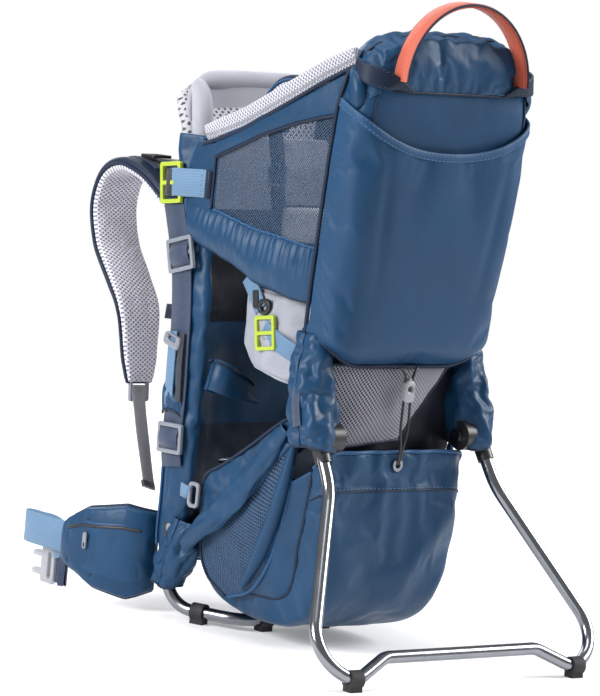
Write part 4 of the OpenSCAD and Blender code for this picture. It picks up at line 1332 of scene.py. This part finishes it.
def hub_boots():
    """Crumpled cloth sleeves that hang from the panel's lower corners over the hubs, open at the bottom."""
    path = smooth_path([(106, -118, 352), (110, -123, 322), (111.5, -129, 290), (112, -138, 258),
                        (112, -144, 232)], 40)
    wide = shares(40, [0, 0.2, 0.45, 0.75, 0.93, 1], [13, 16, 19, 22.5, 23, 21.5])
    deep = shares(40, [0, 0.2, 0.45, 0.75, 0.93, 1], [18, 21, 24, 27, 27, 24])
    for sign, word in SIDES:
        def sleeve(i, a):
            c, q = cos(a), sin(a)
            fold = 1 + 0.07 * sin(3 * a + i * 0.16 + sign) + 0.05 * sin(7 * a - i * 0.21)
            x, y, z = path[i]
            return (sign * (x + wide[i] * copysign(abs(c) ** 0.8, c) * fold),
                    y + deep[i] * copysign(abs(q) ** 0.8, q) * fold,
                    z + 2.4 * sin(i * 0.55 + 2 * a) * (i / 40))

        P = wrinkle(grid(range(40), linspace(0, 2 * pi, 49), sleeve), 2.6, 19.0, 37.0 + sign)
        P[:, -1] = P[:, 0]
        simulate(sheet("hub_boot_" + word, P, "blue_soft", 1.8), cap=4.0, grow=0.045, pressure=0.8)
        cord("hub_boot_hem_" + word, P[-1], 1.7, "navy", count=60)
        tab = flipped([(133.0, -130, 296), (135.5, -134, 276), (136.0, -140, 254)], sign)
        strap("hub_boot_tab_" + word, tab, 13, 1.8, "web_navy", (sign, 0, 0), count=14)


# ---------------------------------------------------------------- shoulder straps and waist belt
# Line of a shoulder pad from the yoke forward and down: y and z
SHOULDER = [(149, 453), (188, 480), (236, 492), (266, 476), (277, 442), (264, 398), (236, 362), (212, 330),
            (202, 288),
            (195, 248)]


def shoulders():
    """Curved shoulder pads, load lifters, the webbing tails below them and the chest strap halves."""
    rows = 96
    centre = smooth_path([(0, y, z) for y, z in SHOULDER], rows)
    n = np.cross(unit(np.gradient(centre, axis=0)), V([1.0, 0, 0]))
    half = shares(rows, [0, 0.06, 0.2, 0.5, 0.78, 0.93, 1], [24, 28, 31, 31, 29, 23, 17])
    shift = shares(rows, [0, 0.35, 0.7, 1], [-2, 0, 3, 5])
    for sign, word in SIDES:
        body, lifter, tail, chest = [word + kind for kind in ("_shoulder", "_lifter", "_tail", "_sternum")]
        P = grid(range(rows), linspace(-1, 1, 25), lambda i, k: centre[i] + V([
            sign * (87 + shift[i]) + k * half[i], 0, 0]))
        P = wrinkle(P, 0.8, 40.0, 43.0)
        cover = pad("shoulder_pad_%s_cover" % word, P - n[:, None] * 2.9, 10, "navy", body, "blue_nylon",
                    power=5.5,
                    cap=3.0)
        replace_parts(cover, "shoulder_pad_" + word)
        pad("shoulder_pad_%s_mesh" % word, P + n[:, None] * 3.2, 8.6, "strap_mesh", body, power=6.0, cap=3.0)
        cord("shoulder_piping_" + word, outline(P), 1.9, "navy", body, "navy_nylon", count=200)
        web = centre[14:-2] + V([sign * 88, 0, 0]) - n[14:-2] * 8.0
        strap("shoulder_web_" + word, web, 19, 1.9, "web_navy", n[14:-2], body, count=80, smooth=False)
        for i in (30, 46, 62):
            c = centre[i] + V([sign * 87, 0, 0]) - n[i] * 9.4
            dashes("shoulder_bar_%s_%d" % (word, i), [c - V([9, 0, 0]), c + V([9, 0, 0])], r=0.5, body=body)

        lift = flipped([(87, 143, 501), (87, 170, 503), (87, 196, 502), (87, 228, 500.5)], sign)
        q = strap("load_lifter_web_" + word, lift, 19, 2.0, "web_dark", (0, 0.05, 1), lifter, count=30)
        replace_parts(q, "load_lifter_" + word)
        ladder_lock("load_lifter_lock_" + word, (sign * 87, 208, 504), X, (0, 1, -0.03), 27, 25, 3.6, "black",
                    lifter, 3.4)

        q = ladder_lock("tail_lock_" + word, (sign * 92, 193.5, 239), X, (0, 0.1, 1), 27, 26, 4.6, "grey",
                        tail)
        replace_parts(q, "strap_tail_" + word)
        web = [(92.5, 192, 245), (93, 191, 234), (97, 176, 202), (101, 160, 172), (106, 142, 142),
               (107, 138, 136)]
        web = flipped(web, sign)
        strap("tail_web_" + word, web, 20, 2.0, "web_grey", (0, 0.8, 0.5), tail, count=40)
        strap("tail_fold_" + word, web[-2:] + V([0, 1.6, 0.6]), 20.6, 4.4, "web_dark", (0, 0.8, 0.5), tail,
              count=8,
              smooth=False)

        x, y, z = box("sternum_" + word)[2]
        web = flipped([(54, y, z), (40, y + 1, z - 1), (26, y + 0.6, z), (18, y, z)], sign)
        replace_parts(strap("sternum_web_" + word, web, 17, 2.0, "web_navy", Y, chest, count=24),
                    "sternum_" + word)
        plate("sternum_clip_" + word, [rounded(21, 23, 5, 6), rounded(9, 13, 2)], 6.8, "grey",
              (sign * 20, y, z),
              body=chest, bevel=2.0)


# Line of a hip fin from the pack outwards: x and y
FIN = [(106, 118), (126, 126), (145, 154), (155, 190), (158, 216)]


def belt():
    """Waist belt: wrapped padded fins with a zipped pocket, webbing, and the two halves of the buckle."""
    cols = 60
    line = smooth_path([(x, y, 0) for x, y in FIN], cols)
    out = np.cross(unit(np.gradient(line, axis=0)), V([0, 0, 1.0]))
    low = shares(cols, [0, 0.25, 0.6, 0.85, 1], [24, 13, 20, 34, 46])
    high = shares(cols, [0, 0.3, 0.7, 0.9, 1], [112, 118, 108, 94, 84])
    P0 = grid(linspace(0, 1, 26), range(cols), lambda v, i: line[i] + V([
        0, 0, low[i] + (high[i] - low[i]) * v]) + out[i] * (1.5 * sin(pi * v)))
    for sign, word in SIDES:
        body, web_body = word + "_fin", word + "_belt"
        P = P0 * V([sign, 1, 1])
        n = grid_normals(P)
        n *= 1 if n[12, 30, 0] * sign > 0 else -1
        P = wrinkle(P, 0.9, 38.0, 47.0)
        cover = pad("hip_fin_%s_cover" % word, P + n * 2.6, 13, "blue_soft", body, power=5.0, cap=5.0,
                    grow=0.02,
                    pressure=3.0)
        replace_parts(cover, "hip_fin_" + word)
        pad("hip_fin_%s_mesh" % word, P - n * 4.2, 10, "strap_mesh", body, power=5.0)
        cord("hip_fin_piping_" + word, outline(P), 2.1, "navy", body, "navy_nylon", count=160)
        Q = P[4:22, 9:52] + n[4:22, 9:52] * 8.2
        pad("hip_pocket_" + word, wrinkle(Q, 0.4, 25.0, 51.0), 5.4, "blue", body, power=4.5, piping="navy",
            piping_r=1.4)
        cord("hip_zip_" + word, P[19, 10:52] + n[19, 10:52] * 10.6, 1.7, "black", body, "black_plastic",
             count=70)
        q = plate("zip_pull_tab_" + word, [rounded(6.4, 19, 3), rounded(2.6, 5, 1.2, cy=-5)], 2.4, "grey",
                  box("zip_pull_" + word)[2], Y, Z, word + "_zip")
        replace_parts(q, "zip_pull_" + word)

        # webbing loop beyond the fin, and the length that carries the buckle
        loop = [(156, 216, 67), (159, 240, 67), (160, 280, 67), (157, 295, 67), (152, 300, 67),
                (148, 295, 67),
                (147, 280, 67), (146, 244, 64), (144, 236, 40)]
        q = strap("hip_web_outer_" + word, flipped(loop, sign), 36, 2.1, "web_light", (sign, 0, 0), web_body,
                  "navy_webbing", 70)
        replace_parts(q, "hip_web_" + word)
        inner = flipped([(145, 241, 24), (140, 234, 24), (137, 236, 24), (136, 246, 24), (136, 257, 24)],
                        sign)
        strap("hip_web_inner_" + word, inner, 36, 2.1, "web_navy", (sign, 0.2, 0), web_body, count=24)

    lo, hi, mid = box("buckle_male")
    y, z = (hi[1] - lo[1]) / 2, (hi[2] - lo[2]) / 2
    upper = [(-y, z - 4), (5 - y, z), (2, z), (4, z - 7), (y - 4, z - 7), (y, z - 12), (y - 3, 7), (4, 7)]
    lower = [(a, -b) for a, b in upper[::-1]]
    gap = rounded(6, 2 * z - 12, 2, cx=9 - y)
    p = plate("buckle_plug", [lower[-1:] + upper + lower[:-1], gap], 8.4, "grey_pale", mid, Y, Z,
              "belt_plug", "black_plastic", 1.8)
    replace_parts(p, "buckle_male")
    shell = [rounded(2 * y, 2 * z, 7, 7), gap, rounded(12, 12, 4, cx=6)]
    p = plate("buckle_socket", shell, 10.6, "grey_pale", box("buckle_female")[2], Y, Z, "belt_socket",
              "black_plastic", 2.6)
    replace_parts(p, "buckle_female")


# ---------------------------------------------------------------- stage
def light(name, where, size, power):
    """Round lamp aimed at the middle of the carrier."""
    data = bpy.data.lights.new(name, "AREA")
    data.shape = "DISK"
    data.size = size
    data.energy = power
    lamp = bpy.data.objects.new(name, data)
    lamp.location = where
    lamp.rotation_euler = (Vector((0, 0, 0.33)) - Vector(where)).to_track_quat("-Z", "Y").to_euler()
    bpy.context.scene.collection.objects.link(lamp)


def stage():
    """Pale round floor that fades out at its edge, soft lights, white surroundings and the camera."""
    reach, full, clear, glow = 2.6, 1.5, 2.5, 0.22
    floor = bpy.data.meshes.new("floor")
    floor.from_pydata([(x, y, 0) for x, y in circle(reach, 96)], [], [list(range(96))])
    m = Nodes("studio_pale")
    far = m.node("VectorMath", {0: m.place()}, operation="LENGTH")["Value"]
    tint = m.mix(m.ramp(m.noise(4.0), 0.4, 0.7), (0.80, 0.80, 0.81, 1), (0.84, 0.84, 0.85, 1))
    floor.materials.append(m.finish(tint, 0.75, None, 0.2, {"Emission Color": (1, 1, 1, 1),
                                                            "Emission Strength": glow},
                                    m.ramp(far, full, clear, 1.0, 0.0)))
    ob = bpy.data.objects.new("floor", floor)
    bpy.context.scene.collection.objects.link(ob)

    light("key", (3.1, -1.5, 2.1), 2.0, 172)
    light("fill", (-3.0, 0.4, 1.6), 1.5, 128)
    light("top", (-0.4, 0.0, 3.0), 1.8, 46)
    light("back", (0.6, 2.4, 1.6), 2.0, 26)
    # the world lights the carrier softly and looks plain white to the camera
    soft_light, seen_light = 0.34, 1.0
    world = bpy.data.worlds.new("studio")
    world.use_nodes = True
    tree = world.node_tree
    rays = tree.nodes.new("ShaderNodeLightPath")
    power = tree.nodes.new("ShaderNodeMapRange")
    power.inputs[3].default_value = soft_light
    power.inputs[4].default_value = seen_light
    tree.links.new(rays.outputs["Is Camera Ray"], power.inputs[0])
    tree.links.new(power.outputs[0], tree.nodes["Background"].inputs[1])
    tree.nodes["Background"].inputs[0].default_value = (1, 1, 1, 1)
    bpy.context.scene.world = world
    bpy.context.scene.view_settings.view_transform = "Standard"

    # the photograph's view: 4.7 m away, from behind and to the wearer's left, a little from above
    distance, lens, frame_height = 4743, 225.8, 36
    right = Vector((0.7660, -0.6352, 0.0983)).normalized()
    view = Vector((0.6428, 0.7570, -0.1172)).normalized()
    up = right.cross(view).normalized()
    aim = Vector((0, -135, 343)) - 106.5 * right - 5 * up
    cam = bpy.data.cameras.new("camera")
    cam.lens = lens
    cam.sensor_fit = "VERTICAL"
    cam.sensor_height = frame_height
    cam.clip_end = 50
    ob = bpy.data.objects.new("camera", cam)
    m = Matrix((right, up, -view)).transposed().to_4x4()
    m.translation = (aim - distance * view) * MM
    ob.matrix_world = m
    bpy.context.scene.collection.objects.link(ob)
    bpy.context.scene.camera = ob


finish_frame()
rear_panel()
hood()
handle()
cockpit()
rims()
harness()
seat()
back()
side_straps()
stirrups()
lower_bag()
rear_net()
hub_boots()
shoulders()
belt()
stage()
